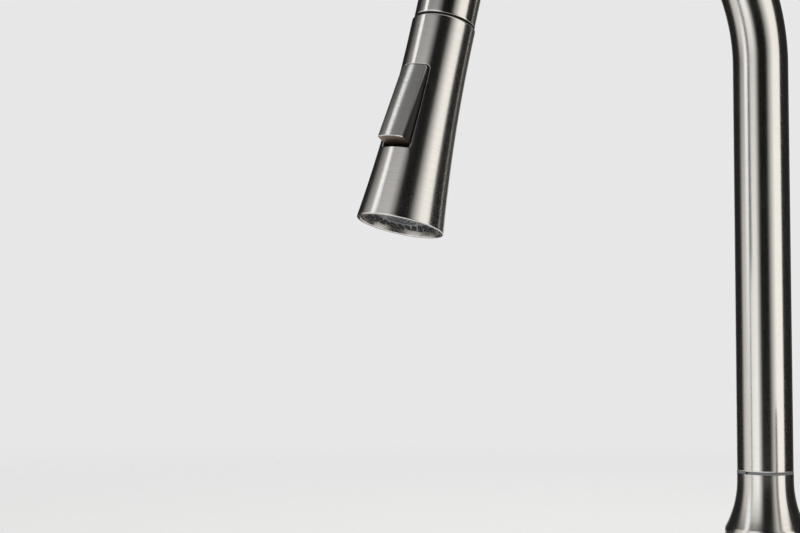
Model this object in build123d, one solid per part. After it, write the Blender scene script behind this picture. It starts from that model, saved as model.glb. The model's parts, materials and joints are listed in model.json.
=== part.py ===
from build123d import *
import os
from math import asin, cos, degrees, hypot, pi, radians, sin, sqrt, tan

# Pull-down kitchen faucet, in millimetres. The origin is the middle of the base on the deck, +Z is up,
# the spout reaches forward along -Y and the handle is on the right, along +X.

# Running and seating clearances, and how far a cut reaches past the face that it opens
RUN_FIT = 0.06
SEAT_FIT = 0.02
SOFT_GAP = 0.3
FACE_GAP = 0.1
CUT_PAST = 1.0

# Base flange and deck gasket
FLANGE_RADIUS = 27.0
FLANGE_HEIGHT = 5.5
FLANGE_SEAT = 3.5
FLANGE_ROUND = 1.6
GASKET_WIDTH = 3.6
GASKET_HEIGHT = 1.6
GASKET_EDGE = 2.6

# Valve body and its side boss
BODY_RADIUS = 20.4
BODY_HEIGHT = 66.2
BODY_EDGE = 0.4
BOSS_HEIGHT = 40.0
BOSS_REACH = 38.0
BOSS_WALL = 2.25
BOSS_EDGE = 0.8

# Flared neck and split swivel ring
NECK_HEIGHT = 29.7
NECK_TOP_RADIUS = 14.1
NECK_STRAIGHT = 3.4
NECK_COLLAR = 0.89379
NECK_LIP = 1.3
NECK_EDGE = 0.35
RING_HEIGHT = 1.2
RING_WIDTH = 2.9
RING_GAP = 1.5
RING_GAP_ANGLE = -83.0

# Swivel post, its O-rings, clip and sleeve
POST_RADIUS = 10.6
POST_BORE = 7.2
POST_ENGAGE = 9.2
POST_ABOVE_CLIP = 2.6
SLEEVE_HEIGHT = 37.0
O_RING_SECTION = 1.7
O_RING_FIRST = 9.0
O_RING_SPACING = 18.0
CLIP_HEIGHT = 1.2
CLIP_STAND = 1.4
CLIP_DEPTH = 1.4
CLIP_GAP = 6.0

# Spout tube
TUBE_RADIUS = 14.0
TUBE_WALL = 1.2
RISER_HEIGHT = 209.3
BEND_RADIUS = 93.0
BEND_ANGLE = 166.5
END_STRAIGHT = 22.9

# Threaded shank and clamping hardware
SHANK_RADIUS = 17.0
SHANK_BORE = 15.0
SHANK_ENGAGE = 10.0
SHANK_STEP = 0.4
SPIGOT_LENGTH = 8.0
SHANK_LENGTH = 60.0
THREAD_PITCH = 1.5
THREAD_DEPTH = 0.7
DECK_THICKNESS = 19.0
WASHER_RADIUS = 25.0
WASHER_BORE_GAP = 0.35
RUBBER_THICKNESS = 3.0
STEEL_THICKNESS = 1.5
NUT_RADIUS = 26.0
NUT_FLANGE = 5.0
NUT_HEX = 42.0
NUT_HEIGHT = 12.0
JACK_RADIUS = 2.5
JACK_LENGTH = 14.0
JACK_COUNT = 2
SOCKET_SHARE = 0.55

# Water ports in the body
PORT_RADIUS = 3.5
PORT_DEPTH = 14.0
PORT_CIRCLE = 11.0
PORT_ANGLE = 75.0
FEED_RADIUS = 2.0
FEED_OFFSET = 8.6
OUTLET_DROP = 6.6

# Pull-out hose
HOSE_RADIUS = 6.0
HOSE_PASSAGE = 0.7
HOSE_BELOW_SHANK = 9.0
HOSE_PAST_BEND = 0.5
COUPLING_RADIUS = 7.4
COUPLING_GRIP = 11.0
COUPLING_HEX = 16.0
COUPLING_HEX_HEIGHT = 6.0
COUPLING_BARREL = 12.0
COUPLING_BORE = 4.5
COUPLING_DEPTH = 10.0

# Mixing cartridge, measured along the boss from the body's axis
CARTRIDGE_RADIUS = 12.5
CARTRIDGE_START = 14.5
CARTRIDGE_SHOULDER = 16.5
CARTRIDGE_NECK_RADIUS = 10.0
CARTRIDGE_NECK = 5.0
CARTRIDGE_FLOOR = 2.5
CARTRIDGE_LIP = 0.7
SEAL_RADIUS = 3.2
SEAL_HEIGHT = 1.2
DISC_HEIGHT = 3.0
FIXED_DISC_RADIUS = 10.8
MOVING_DISC_RADIUS = 7.4
MOVING_DISC_HEIGHT = 2.6
MIX_POCKET_RADIUS = 4.6
MIX_POCKET_DEPTH = 1.0
CARRIER_HEIGHT = 4.7
DISC_ROOM = 0.4
GUIDE_RADIUS = 8.4
GUIDE_HEIGHT = 6.0
STEM_RADIUS = 3.6
STEM_TAIL_RADIUS = 1.9
STEM_BALL_RADIUS = 2.4
STEM_ARM = 7.0
STEM_PIN_RADIUS = 1.2
STEM_PIN_MARGIN = 0.8
PIVOT_BELOW_END = 4.0
CARTRIDGE_NUT_HEIGHT = 5.0
CARTRIDGE_NUT_STEP = 1.75
NUT_SLOT_WIDTH = 3.0
NUT_SLOT_DEPTH = 2.0
NUT_SLOT_COUNT = 4
DOME_RADIUS = 15.5
DOME_WALL = 1.3
DOME_SKIRT = 1.6
DOME_HOLE = 9.2

# Handle
HUB_RADIUS = 17.0
HUB_END = 24.0
HUB_EDGE = 2.4
HUB_DOME_GAP = 0.5
HUB_RIM = 7.9
LIFT_RANGE = 20.0
STEM_IN_HUB = 4.6
LEVER_LENGTH = 74.0
LEVER_LEAN = 8.0
LEVER_WIDTH = 10.0
LEVER_THICKNESS = 6.6
LEVER_TIP_WIDTH = 7.6
LEVER_TIP_THICKNESS = 4.6
LEVER_ROUND = 2.0
LEVER_SEAT = 1.3
LEVER_PLACE = 6.6
TENON_RADIUS = 2.4
TENON_LENGTH = 7.0
SCREW_RADIUS = 2.5
SCREW_LENGTH = 6.0
PLUG_LENGTH = 2.4
PLUG_SINK = 0.3

# Dock in the spout's end
DOCK_LIP = 0.9
DOCK_LIP_STEP = 0.12
DOCK_LENGTH = 20.0
DOCK_MOUTH_RADIUS = 11.3
DOCK_THROAT_RADIUS = 10.6

# Spray head, measured along its axis from the dock seam
HEAD_LENGTH = 95.2
HEAD_TOP_RADIUS = 14.6
HEAD_MID_RADIUS = 15.7
HEAD_RIM_RADIUS = 19.7
HEAD_SHOULDER = 0.8
HEAD_WALL = 1.8
HEAD_TOP_WALL = 3.0
HEAD_RIM_ROUND = 0.5
HEAD_TURN = 25.5
CORE_GAP = 0.35
STUB_RADIUS = 7.9
STUB_LENGTH = 10.0
STUB_BORE = 4.6
CHECK_VALVE_LENGTH = 9.0
CHECK_VALVE_BORE = 2.6
INLET_RING_SECTION = 1.4
INLET_RING_PLACE = 5.0
WATERWAY_RADIUS = 3.0
NUT_SHOULDER = 11.5
DOCK_NUT_LENGTH = 18.0
DOCK_NUT_TAPER = 0.7
FERRULE_RADIUS = 7.0
FERRULE_FLANGE = 1.3
FERRULE_BEHIND_NUT = 2.0

# Rocker button and diverter
POCKET_TOP = 24.4
POCKET_END = 63.5
POCKET_WIDTH = 14.6
POCKET_CORNER = 2.0
POCKET_END_CORNER = 0.8
POCKET_EDGE = 0.3
ROCKER_SIDE_GAP = 0.3
ROCKER_TOP_GAP = 1.15
ROCKER_END_GAP = 1.25
ROCKER_UNDERSIDE = 6.0
ROCKER_EDGE = 0.3
ROCKER_CROWN = 20.0
ROCKER_STAND_TOP = 0.65
ROCKER_STAND_END = 5.45
ROCKER_TILT = 5.0
ROCKER_PIVOT_DEPTH = 8.55
ROCKER_CAP_DEPTH = 3.95
ROCKER_ROOM = 2.1
ROCKER_WEB_WIDTH = 9.2
ROCKER_WEB_RADIUS = 3.2
ROCKER_PIN_RADIUS = 1.2
ROCKER_PIN_GRIP = 3.8
ROCKER_ARM = 5.65
ROCKER_ARM_THICKNESS = 1.5
ROCKER_TIP_RADIUS = 1.0
ROCKER_ARM_WIDTH = 3.0
ARM_SLOT_ROOM = 0.4
SPOOL_RADIUS = 3.44
SPOOL_NECK_RADIUS = 1.2
SPOOL_LENGTH = 18.0
SPOOL_ROOM = 2.0
SPOOL_OFFSET = -1.0
SPOOL_RING_SECTION = 1.0
SPOOL_RING_INSET = 3.0

# Spray face
FACE_RECESS = 3.2
FACE_THICKNESS = 3.4
FACE_GAP_TO_SHELL = 0.15
CHAMBER_HEIGHT = 10.6
CHAMBER_CHANNEL = 6.0
CHAMBER_WALL = 1.5
AERATOR_RADIUS = 8.2
AERATOR_WALL = 1.6
AERATOR_HEIGHT = 8.6
AERATOR_STAND = 0.6
SCREEN_THICKNESS = 1.3
SCREEN_SINK = 0.8
SCREEN_HOLE = 0.8
SCREEN_PITCH = 2.2
SCREEN_MARGIN = 0.2
NOZZLE_RADIUS = 0.95
NOZZLE_TIP_RADIUS = 0.7
NOZZLE_STAND = 1.1
NOZZLE_RING_COUNTS = (30, 22)
NOZZLE_EDGE = 2.4
NOZZLE_RING_STEP = 3.2

BASE = (Align.CENTER, Align.CENTER, Align.MIN)

# Levels that the pieces share
body_top = FLANGE_SEAT + BODY_HEIGHT
neck_top = body_top + NECK_HEIGHT
ring_top = neck_top + RING_HEIGHT
tube_start = ring_top + FACE_GAP
riser_top = tube_start + RISER_HEIGHT
shank_seat = FLANGE_SEAT + SHANK_ENGAGE
sleeve_top = tube_start + SLEEVE_HEIGHT
tube_bore = TUBE_RADIUS - TUBE_WALL
nut_bore = CARTRIDGE_RADIUS + SEAT_FIT + CARTRIDGE_NUT_STEP
boss_radius = nut_bore + BOSS_WALL

# Frame along the boss: local z is the boss axis, local x points up
boss_frame = Plane(origin=(0, 0, BOSS_HEIGHT), x_dir=(0, 0, 1), z_dir=(1, 0, 0))
pivot_reach = BOSS_REACH - PIVOT_BELOW_END

# Frame at the end of the bend and frame of the head: local z runs out of the spout
bend = radians(BEND_ANGLE)
end_direction = Vector(0, -sin(bend), cos(bend))
outward = Vector(0, cos(bend), sin(bend))
bend_end = Vector(0, -BEND_RADIUS * (1 - cos(bend)), riser_top + BEND_RADIUS * sin(bend))
seam = bend_end + end_direction * END_STRAIGHT
button_side = outward * cos(radians(HEAD_TURN)) + Vector(1, 0, 0) * sin(radians(HEAD_TURN))
dock_frame = Plane(origin=seam, x_dir=outward, z_dir=end_direction)
head_frame = Plane(origin=seam, x_dir=button_side, z_dir=end_direction)


def rod(radius, low, high):
    """Cylinder about local z from low to high."""
    return Pos(0, 0, low) * Cylinder(radius, high - low, align=BASE)


def sleeve(outer, inner, low, high):
    """Tube about local z from low to high."""
    return rod(outer, low, high) - rod(inner, low, high)


def turned(*edges):
    """Solid of revolution about local z from a closed outline of (radius, height) edges."""
    return revolve(Plane.XZ * make_face(Curve() + list(edges)), Axis.Z)


def lathe(*points):
    """Solid of revolution about local z from (radius, height) corners."""
    return turned(Polyline(*points, close=True))


def ring(section, middle_radius, height):
    """O-ring about local z."""
    return Pos(0, 0, height) * Torus(middle_radius, section / 2)


def block(x_range, y_range, z_range):
    """Box between the given limits."""
    size = [high - low for low, high in (x_range, y_range, z_range)]
    middle = [(high + low) / 2 for low, high in (x_range, y_range, z_range)]
    return Pos(*middle) * Box(*size)


def around(count, radius, start=0.0):
    """Points spread evenly round a circle."""
    angles = [radians(start) + 2 * pi * step / count for step in range(count)]
    return [(radius * cos(angle), radius * sin(angle)) for angle in angles]


def placed(frame, pieces):
    """Pieces moved into a frame by name, with a list of solids kept together as one group."""
    moved = {}
    for name, piece in pieces.items():
        group = isinstance(piece, list)
        moved[name] = Compound(children=[frame * one for one in piece]) if group else frame * piece
    return moved


def base_pieces():
    """Flange on the deck, gasket in its underside, valve body and threaded shank."""
    gasket_outer = FLANGE_RADIUS - GASKET_EDGE
    gasket_inner = gasket_outer - GASKET_WIDTH
    shank_pass = SHANK_RADIUS + SOFT_GAP
    flange = rod(FLANGE_RADIUS, 0, FLANGE_HEIGHT)
    flange = fillet(flange.edges().sort_by(Axis.Z)[-1], FLANGE_ROUND)
    flange -= rod(BODY_RADIUS + SEAT_FIT, FLANGE_SEAT, FLANGE_HEIGHT)
    flange -= rod(shank_pass, 0, FLANGE_SEAT)
    flange -= sleeve(gasket_outer, gasket_inner, 0, GASKET_HEIGHT)
    gasket = sleeve(gasket_outer - SEAT_FIT, gasket_inner + SEAT_FIT, 0, GASKET_HEIGHT)
    return {"base_flange": flange, "deck_gasket": gasket, "valve_body": valve_body(),
            "threaded_shank": shank()}


def valve_body():
    """Body casting: cylinder with a side boss, bored for shank, post, hose, cartridge and water."""
    body = rod(BODY_RADIUS, FLANGE_SEAT, body_top)
    body = chamfer(body.edges().sort_by(Axis.Z)[-1], BODY_EDGE)
    boss = boss_frame * chamfer(rod(boss_radius, 0, BOSS_REACH).edges().sort_by(Axis.Z)[-1], BOSS_EDGE)
    body += boss
    body -= rod(SHANK_RADIUS - SHANK_STEP + SEAT_FIT, FLANGE_SEAT, shank_seat)
    body -= rod(HOSE_RADIUS + HOSE_PASSAGE, shank_seat, body_top)
    body -= rod(POST_RADIUS + SEAT_FIT, body_top - POST_ENGAGE, body_top)
    shoulder = CARTRIDGE_START + CARTRIDGE_SHOULDER
    body -= boss_frame * rod(CARTRIDGE_RADIUS + SEAT_FIT, CARTRIDGE_START, shoulder)
    body -= boss_frame * rod(nut_bore, shoulder, BOSS_REACH)
    return body - water_ways()


def port_places():
    """Hot, cold and mixed water ports in the underside of the body."""
    side = radians(PORT_ANGLE)
    hot = (PORT_CIRCLE * cos(side), PORT_CIRCLE * sin(side))
    cold = (hot[0], -hot[1])
    return {"hot": hot, "cold": cold, "mixed": (PORT_CIRCLE, 0)}


def feed_places():
    """Holes in the cartridge's base that meet the ports, as (up, across) in the boss frame."""
    return {"hot": (0, -FEED_OFFSET), "cold": (0, FEED_OFFSET), "mixed": (-OUTLET_DROP, 0)}


def water_ways():
    """Threaded ports from below, drilled on up, and feeds from the cartridge's seat to each."""
    cuts = []
    for name, (x, y) in port_places().items():
        up, across = feed_places()[name]
        cuts.append(Pos(x, y, 0) * rod(PORT_RADIUS, shank_seat, shank_seat + PORT_DEPTH))
        cuts.append(Pos(x, y, 0) * rod(FEED_RADIUS, shank_seat, BOSS_HEIGHT + up + FEED_RADIUS))
        cuts.append(boss_frame * (Pos(up, across, 0) * rod(FEED_RADIUS, x, CARTRIDGE_START)))
    return cuts


def shank():
    """Shank under the deck: stepped top in the body, plain spigot, then ridged thread."""
    seat_radius = SHANK_RADIUS - SHANK_STEP
    crest = SHANK_RADIUS - SHANK_STEP / 2
    root = crest - THREAD_DEPTH
    turns = int((SHANK_LENGTH - SPIGOT_LENGTH - THREAD_PITCH) / THREAD_PITCH)
    thread = []
    for turn in range(turns):
        low = -SPIGOT_LENGTH - THREAD_PITCH * (turn + 1)
        thread += [(root, low), (crest, low - THREAD_PITCH / 2)]
    foot = -SHANK_LENGTH
    outline = [(SHANK_BORE, shank_seat), (seat_radius, shank_seat), (seat_radius, 0), (SHANK_RADIUS, 0),
               (SHANK_RADIUS, -SPIGOT_LENGTH), (root, -SPIGOT_LENGTH), *thread, (root, foot),
               (SHANK_BORE, foot)]
    return lathe(*outline)


def clamp_pieces():
    """Washers, nut and jack screws that pull the base down on the deck."""
    bore = SHANK_RADIUS + WASHER_BORE_GAP
    rubber_low = -DECK_THICKNESS - RUBBER_THICKNESS
    steel_low = rubber_low - STEEL_THICKNESS
    flange_low = steel_low - NUT_FLANGE
    nut_low = steel_low - NUT_HEIGHT
    jack_circle = (NUT_HEX / 2 + NUT_RADIUS) / 2
    hexagon = RegularPolygon(NUT_HEX / 2, 6, major_radius=False)
    nut = rod(NUT_RADIUS, flange_low, steel_low) + Pos(0, 0, nut_low) * extrude(hexagon, NUT_HEIGHT)
    nut -= rod(SHANK_RADIUS - SHANK_STEP / 2 + RUN_FIT, nut_low, steel_low)
    jacks = []
    for x, y in around(JACK_COUNT, jack_circle + JACK_RADIUS / 2):
        screw = Pos(x, y, 0) * rod(JACK_RADIUS, steel_low - JACK_LENGTH, steel_low)
        nut += Pos(x, y, 0) * rod(JACK_RADIUS * 2, flange_low, steel_low)
        nut -= Pos(x, y, 0) * rod(JACK_RADIUS + SEAT_FIT, nut_low, steel_low)
        jacks.append(screw - drive_socket(JACK_RADIUS, Pos(x, y, steel_low - JACK_LENGTH)))
    return {"rubber_washer": sleeve(WASHER_RADIUS, bore, rubber_low, -DECK_THICKNESS),
            "steel_washer": sleeve(WASHER_RADIUS, bore, steel_low, rubber_low),
            "mounting_nut": nut, "jack_screws": Compound(children=jacks)}


def drive_socket(screw_radius, place):
    """Hexagon socket cut in the end of a screw."""
    return place * extrude(RegularPolygon(screw_radius * SOCKET_SHARE, 6), screw_radius)


def swivel_pieces():
    """Flared neck, split ring, post with O-rings and clip, all fixed to the body."""
    post_low = body_top - POST_ENGAGE
    clip_low = sleeve_top + FACE_GAP
    post_top = clip_low + CLIP_HEIGHT + POST_ABOVE_CLIP
    ring_middle = POST_RADIUS - O_RING_SECTION / 2 + SEAT_FIT
    ring_heights = [tube_start + O_RING_FIRST, tube_start + O_RING_FIRST + O_RING_SPACING]
    groove_floor = POST_RADIUS - O_RING_SECTION
    groove_half = O_RING_SECTION / 2 + FACE_GAP
    post = sleeve(POST_RADIUS, POST_BORE, post_low, post_top)
    for height in ring_heights:
        post -= sleeve(POST_RADIUS + CUT_PAST, groove_floor, height - groove_half, height + groove_half)
    clip_floor = POST_RADIUS - CLIP_DEPTH
    post -= sleeve(POST_RADIUS + CUT_PAST, clip_floor, clip_low - SEAT_FIT, clip_low + CLIP_HEIGHT + SEAT_FIT)
    clip = sleeve(POST_RADIUS + CLIP_STAND, clip_floor + SEAT_FIT, clip_low, clip_low + CLIP_HEIGHT)
    clip -= block((0, 2 * POST_RADIUS), (-CLIP_GAP / 2, CLIP_GAP / 2), (clip_low, clip_low + CLIP_HEIGHT))
    o_rings = [ring(O_RING_SECTION, ring_middle, height) for height in ring_heights]
    split = block((0, 2 * TUBE_RADIUS), (-RING_GAP / 2, RING_GAP / 2), (neck_top, ring_top))
    swivel_ring = sleeve(TUBE_RADIUS, TUBE_RADIUS - RING_WIDTH, neck_top, ring_top)
    swivel_ring -= Rot(0, 0, RING_GAP_ANGLE) * split
    return {"flared_neck": flared_neck(), "swivel_ring": swivel_ring, "swivel_post": post,
            "swivel_o_rings": Compound(children=o_rings), "retaining_clip": clip}


def flared_neck():
    """Neck that flares from the tube's width to the body's on one large arc, with a rounded lip."""
    foot_radius = BODY_RADIUS - NECK_EDGE
    flare_start = neck_top - NECK_STRAIGHT
    lip = (BODY_RADIUS, body_top + NECK_EDGE + NECK_COLLAR)
    foot = (foot_radius, lip[1] + NECK_LIP)
    widening, drop = foot_radius - NECK_TOP_RADIUS, flare_start - foot[1]
    flare_radius = (widening * widening + drop * drop) / (2 * widening)
    half_turn = asin(drop / flare_radius) / 2
    middle = (NECK_TOP_RADIUS + flare_radius * (1 - cos(half_turn)),
              flare_start - flare_radius * sin(half_turn))
    bore = POST_RADIUS + SEAT_FIT
    return turned(Line((bore, neck_top), (NECK_TOP_RADIUS, neck_top)),
                  Line((NECK_TOP_RADIUS, neck_top), (NECK_TOP_RADIUS, flare_start)),
                  ThreePointArc((NECK_TOP_RADIUS, flare_start), middle, foot),
                  Line(foot, lip),
                  Line(lip, (BODY_RADIUS, body_top + NECK_EDGE)),
                  Line((BODY_RADIUS, body_top + NECK_EDGE), (foot_radius, body_top)),
                  Line((foot_radius, body_top), (bore, body_top)),
                  Line((bore, body_top), (bore, neck_top)))


def spout_run(outer, inner, start, end_length):
    """Riser, bend and straight end on the spout's middle line, as one solid or tube."""
    section = Circle(outer) - Circle(inner) if inner else Circle(outer)
    riser = extrude(Pos(0, 0, start) * section, riser_top - start)
    bend_axis = Axis((0, -BEND_RADIUS, riser_top), (1, 0, 0))
    arch = revolve(Pos(0, 0, riser_top) * section, bend_axis, BEND_ANGLE)
    end = extrude(Plane(origin=bend_end, x_dir=outward, z_dir=end_direction) * section, end_length)
    return riser + arch + end


def spout_pieces():
    """Spout tube, the swivel sleeve in its foot, the dock sleeve in its end and the hose inside."""
    tube = spout_run(TUBE_RADIUS, tube_bore, tube_start, END_STRAIGHT - DOCK_LIP)
    foot_sleeve = sleeve(tube_bore - SEAT_FIT, POST_RADIUS + RUN_FIT, tube_start, sleeve_top)
    skirt = tube_bore - SEAT_FIT
    lip_radius = TUBE_RADIUS - DOCK_LIP_STEP
    dock = lathe((DOCK_MOUTH_RADIUS, 0), (lip_radius, 0), (lip_radius, -DOCK_LIP), (skirt, -DOCK_LIP),
                 (skirt, -DOCK_LENGTH), (DOCK_THROAT_RADIUS, -DOCK_LENGTH))
    hose = spout_run(HOSE_RADIUS, 0, tube_start + SOFT_GAP, HOSE_PAST_BEND)
    tail = rod(HOSE_RADIUS, HOSE_PAST_BEND - END_STRAIGHT, -NUT_SHOULDER)
    return {"spout_tube": tube, "swivel_sleeve": foot_sleeve, "dock_sleeve": dock_frame * dock,
            "hose_upper": hose, "hose_tail": dock_frame * tail}


def lower_hose_pieces():
    """Hose from the swivel down through the base, and the coupling on its lower end."""
    hose_low = -SHANK_LENGTH - HOSE_BELOW_SHANK
    grip_low = hose_low - SEAT_FIT
    hex_low = grip_low - COUPLING_HEX_HEIGHT
    barrel_low = hex_low - COUPLING_BARREL
    hexagon = RegularPolygon(COUPLING_HEX / 2, 6, major_radius=False)
    coupling = rod(COUPLING_RADIUS, barrel_low, grip_low + COUPLING_GRIP)
    coupling += Pos(0, 0, hex_low) * extrude(hexagon, COUPLING_HEX_HEIGHT)
    coupling -= rod(HOSE_RADIUS + SEAT_FIT, grip_low, grip_low + COUPLING_GRIP)
    coupling -= rod(COUPLING_BORE, barrel_low, barrel_low + COUPLING_DEPTH)
    return {"hose_lower": rod(HOSE_RADIUS, hose_low, tube_start - SOFT_GAP), "hose_coupling": coupling}


def cartridge_pieces():
    """Ceramic mixing cartridge, its nut and the dome over it, along the boss."""
    start = CARTRIDGE_START
    shoulder = start + CARTRIDGE_SHOULDER
    neck_end = shoulder + CARTRIDGE_NECK
    floor = start + CARTRIDGE_FLOOR
    fixed_top = floor + DISC_HEIGHT
    moving_low = fixed_top + SEAT_FIT
    moving_top = moving_low + MOVING_DISC_HEIGHT
    carrier_top = moving_top + CARRIER_HEIGHT
    disc_travel = STEM_ARM * sin(radians(LIFT_RANGE))
    cavity_radius = MOVING_DISC_RADIUS + disc_travel + DISC_ROOM
    guide_top = neck_end - CARTRIDGE_LIP - FACE_GAP
    guide_low = guide_top - GUIDE_HEIGHT
    slot_half = STEM_RADIUS + 2 * FACE_GAP
    slot_reach = GUIDE_HEIGHT * sin(radians(LIFT_RANGE)) + STEM_RADIUS
    feeds = list(feed_places().values())

    housing = rod(CARTRIDGE_RADIUS, start, shoulder) + rod(CARTRIDGE_NECK_RADIUS, shoulder, neck_end)
    housing -= rod(FIXED_DISC_RADIUS + SEAT_FIT, floor, fixed_top)
    housing -= rod(cavity_radius, fixed_top, guide_low)
    housing -= rod(GUIDE_RADIUS + RUN_FIT, guide_low, neck_end - CARTRIDGE_LIP)
    housing -= rod(GUIDE_RADIUS - CARTRIDGE_LIP, guide_top, neck_end)
    fixed = rod(FIXED_DISC_RADIUS, floor, fixed_top)
    seals = []
    for up, across in feeds:
        place = Pos(up, across, 0)
        housing -= place * rod(FEED_RADIUS, start, floor)
        housing -= place * rod(SEAL_RADIUS + SEAT_FIT, start, start + SEAL_HEIGHT)
        fixed -= place * rod(FEED_RADIUS, floor, fixed_top)
        seals.append(place * ring(SEAL_HEIGHT - 2 * SEAT_FIT, SEAL_RADIUS - SEAL_HEIGHT / 2,
                                  start + SEAL_HEIGHT / 2))
    moving = rod(MOVING_DISC_RADIUS, moving_low, moving_top)
    moving -= rod(MIX_POCKET_RADIUS, moving_low, moving_low + MIX_POCKET_DEPTH)
    ball_floor = pivot_reach - STEM_ARM - STEM_BALL_RADIUS - FACE_GAP
    carrier = rod(MOVING_DISC_RADIUS, moving_top, carrier_top)
    carrier -= rod(STEM_BALL_RADIUS + FACE_GAP, ball_floor, carrier_top)
    guide = rod(GUIDE_RADIUS, guide_low, guide_top)
    guide -= block((-slot_reach, slot_reach), (-slot_half, slot_half), (guide_low, guide_top))
    pin_half = GUIDE_RADIUS - STEM_PIN_MARGIN
    pin_place = Pos(0, 0, pivot_reach) * Rot(90, 0, 0)
    guide -= pin_place * rod(STEM_PIN_RADIUS + SEAT_FIT, -pin_half, pin_half)
    pin = pin_place * rod(STEM_PIN_RADIUS, -pin_half, pin_half)

    nut_top = shoulder + CARTRIDGE_NUT_HEIGHT
    nut = sleeve(nut_bore - SEAT_FIT, CARTRIDGE_NECK_RADIUS + FACE_GAP, shoulder, nut_top)
    for turn in range(NUT_SLOT_COUNT):
        slot = block((0, 2 * nut_bore), (-NUT_SLOT_WIDTH / 2, NUT_SLOT_WIDTH / 2),
                     (nut_top - NUT_SLOT_DEPTH, nut_top))
        nut -= Rot(0, 0, 360 * turn / NUT_SLOT_COUNT) * slot

    pieces = {"cartridge_housing": housing, "cartridge_seals": seals, "fixed_disc": fixed,
              "moving_disc": moving, "disc_carrier": carrier, "cartridge_guide": guide, "stem_pin": pin,
              "cartridge_stem": stem(), "cartridge_nut": nut, "dome_cover": dome()}
    return placed(boss_frame, pieces)


def stem():
    """Cartridge stem: ball in the disc carrier, pivot hole for the pin, rod into the hub."""
    ball_reach = pivot_reach - STEM_ARM
    thick_low = pivot_reach - STEM_RADIUS
    piece = Pos(0, 0, ball_reach) * Sphere(STEM_BALL_RADIUS)
    piece += rod(STEM_TAIL_RADIUS, ball_reach, thick_low)
    piece += rod(STEM_RADIUS, thick_low, hub_bore_end())
    pin_hole = rod(STEM_PIN_RADIUS + RUN_FIT, -STEM_RADIUS, STEM_RADIUS)
    return piece - Pos(0, 0, pivot_reach) * Rot(90, 0, 0) * pin_hole


def dome():
    """Round cover over the cartridge nut, centred on the handle's pivot, with a skirt in the boss."""
    ball = Pos(0, 0, pivot_reach) * (Sphere(DOME_RADIUS) - Sphere(DOME_RADIUS - DOME_WALL))
    skirt_outer = nut_bore - SEAT_FIT
    dome_inner = sqrt((DOME_RADIUS - DOME_WALL) ** 2 - PIVOT_BELOW_END ** 2)
    skirt_inner = min(skirt_outer, dome_inner) - DOME_WALL / 2
    piece = ball & rod(2 * DOME_RADIUS, BOSS_REACH, BOSS_REACH + DOME_RADIUS)
    piece += sleeve(skirt_outer, skirt_inner, BOSS_REACH - DOME_SKIRT, BOSS_REACH + DOME_WALL / 4)
    return piece - rod(DOME_HOLE, BOSS_REACH, BOSS_REACH + DOME_RADIUS)


def hub_bore_end():
    """Where the stem ends inside the hub, past the hollow that clears the dome."""
    return pivot_reach + DOME_RADIUS + HUB_DOME_GAP + STEM_IN_HUB


def handle_pieces():
    """Hub over the dome, lever on its top, set screw on the stem and plug over the screw."""
    hollow = DOME_RADIUS + HUB_DOME_GAP
    hub_far = BOSS_REACH + HUB_END
    lever_reach = hub_far - LEVER_PLACE
    screw_reach = (pivot_reach + hollow + hub_bore_end()) / 2
    screw_place = Pos(0, 0, screw_reach) * Rot(0, -90, 0)
    hub = fillet(rod(HUB_RADIUS, BOSS_REACH, hub_far).edges().sort_by(Axis.Z)[-1], HUB_EDGE)
    rim_cut = rod(3 * HUB_RADIUS, -2 * HUB_RADIUS, HUB_RIM)
    hub -= Pos(0, 0, pivot_reach) * Rot(0, LIFT_RANGE / 2, 0) * rim_cut
    hub -= Pos(0, 0, pivot_reach) * Sphere(hollow)
    hub -= rod(STEM_RADIUS + SEAT_FIT, pivot_reach, hub_bore_end() + FACE_GAP)
    seat = HUB_RADIUS - LEVER_SEAT
    half_width = LEVER_WIDTH / 2 + FACE_GAP
    half_thick = LEVER_THICKNESS / 2 + 2 * FACE_GAP
    hub -= block((seat, 2 * HUB_RADIUS), (-half_width, half_width),
                 (lever_reach - half_thick, lever_reach + half_thick))
    tenon_place = Pos(seat, 0, lever_reach) * Rot(0, -90, 0)
    hub -= tenon_place * rod(TENON_RADIUS + SEAT_FIT, 0, TENON_LENGTH + FACE_GAP)
    hub -= screw_place * rod(SCREW_RADIUS + SEAT_FIT, 0, HUB_RADIUS)
    screw = screw_place * rod(SCREW_RADIUS, STEM_RADIUS + SEAT_FIT, STEM_RADIUS + SCREW_LENGTH)
    screw -= drive_socket(SCREW_RADIUS, screw_place * Pos(0, 0, STEM_RADIUS + SCREW_LENGTH - SCREW_RADIUS))
    plug_end = HUB_RADIUS - PLUG_SINK
    plug = screw_place * rod(SCREW_RADIUS, plug_end - PLUG_LENGTH, plug_end)
    pieces = {"handle_hub": hub, "handle_lever": lever(seat, lever_reach, tenon_place), "hub_screw": screw,
              "hub_plug": plug}
    return placed(boss_frame, pieces)


def lever(seat, lever_reach, tenon_place):
    """Slim lever that tapers upward and leans a little outward, with a tenon in the hub."""
    base = Plane(origin=(seat, 0, lever_reach), x_dir=(0, 1, 0), z_dir=(1, 0, 0))
    tip = base.offset(LEVER_LENGTH)
    low = base * RectangleRounded(LEVER_WIDTH, LEVER_THICKNESS, LEVER_ROUND)
    high = tip * Pos(0, LEVER_LEAN) * RectangleRounded(LEVER_TIP_WIDTH, LEVER_TIP_THICKNESS, LEVER_ROUND)
    bar = loft([low, high])
    bar = fillet(bar.faces().sort_by(Axis.X)[-1].edges(), LEVER_ROUND / 2)
    return bar + tenon_place * rod(TENON_RADIUS, 0, TENON_LENGTH)


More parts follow.
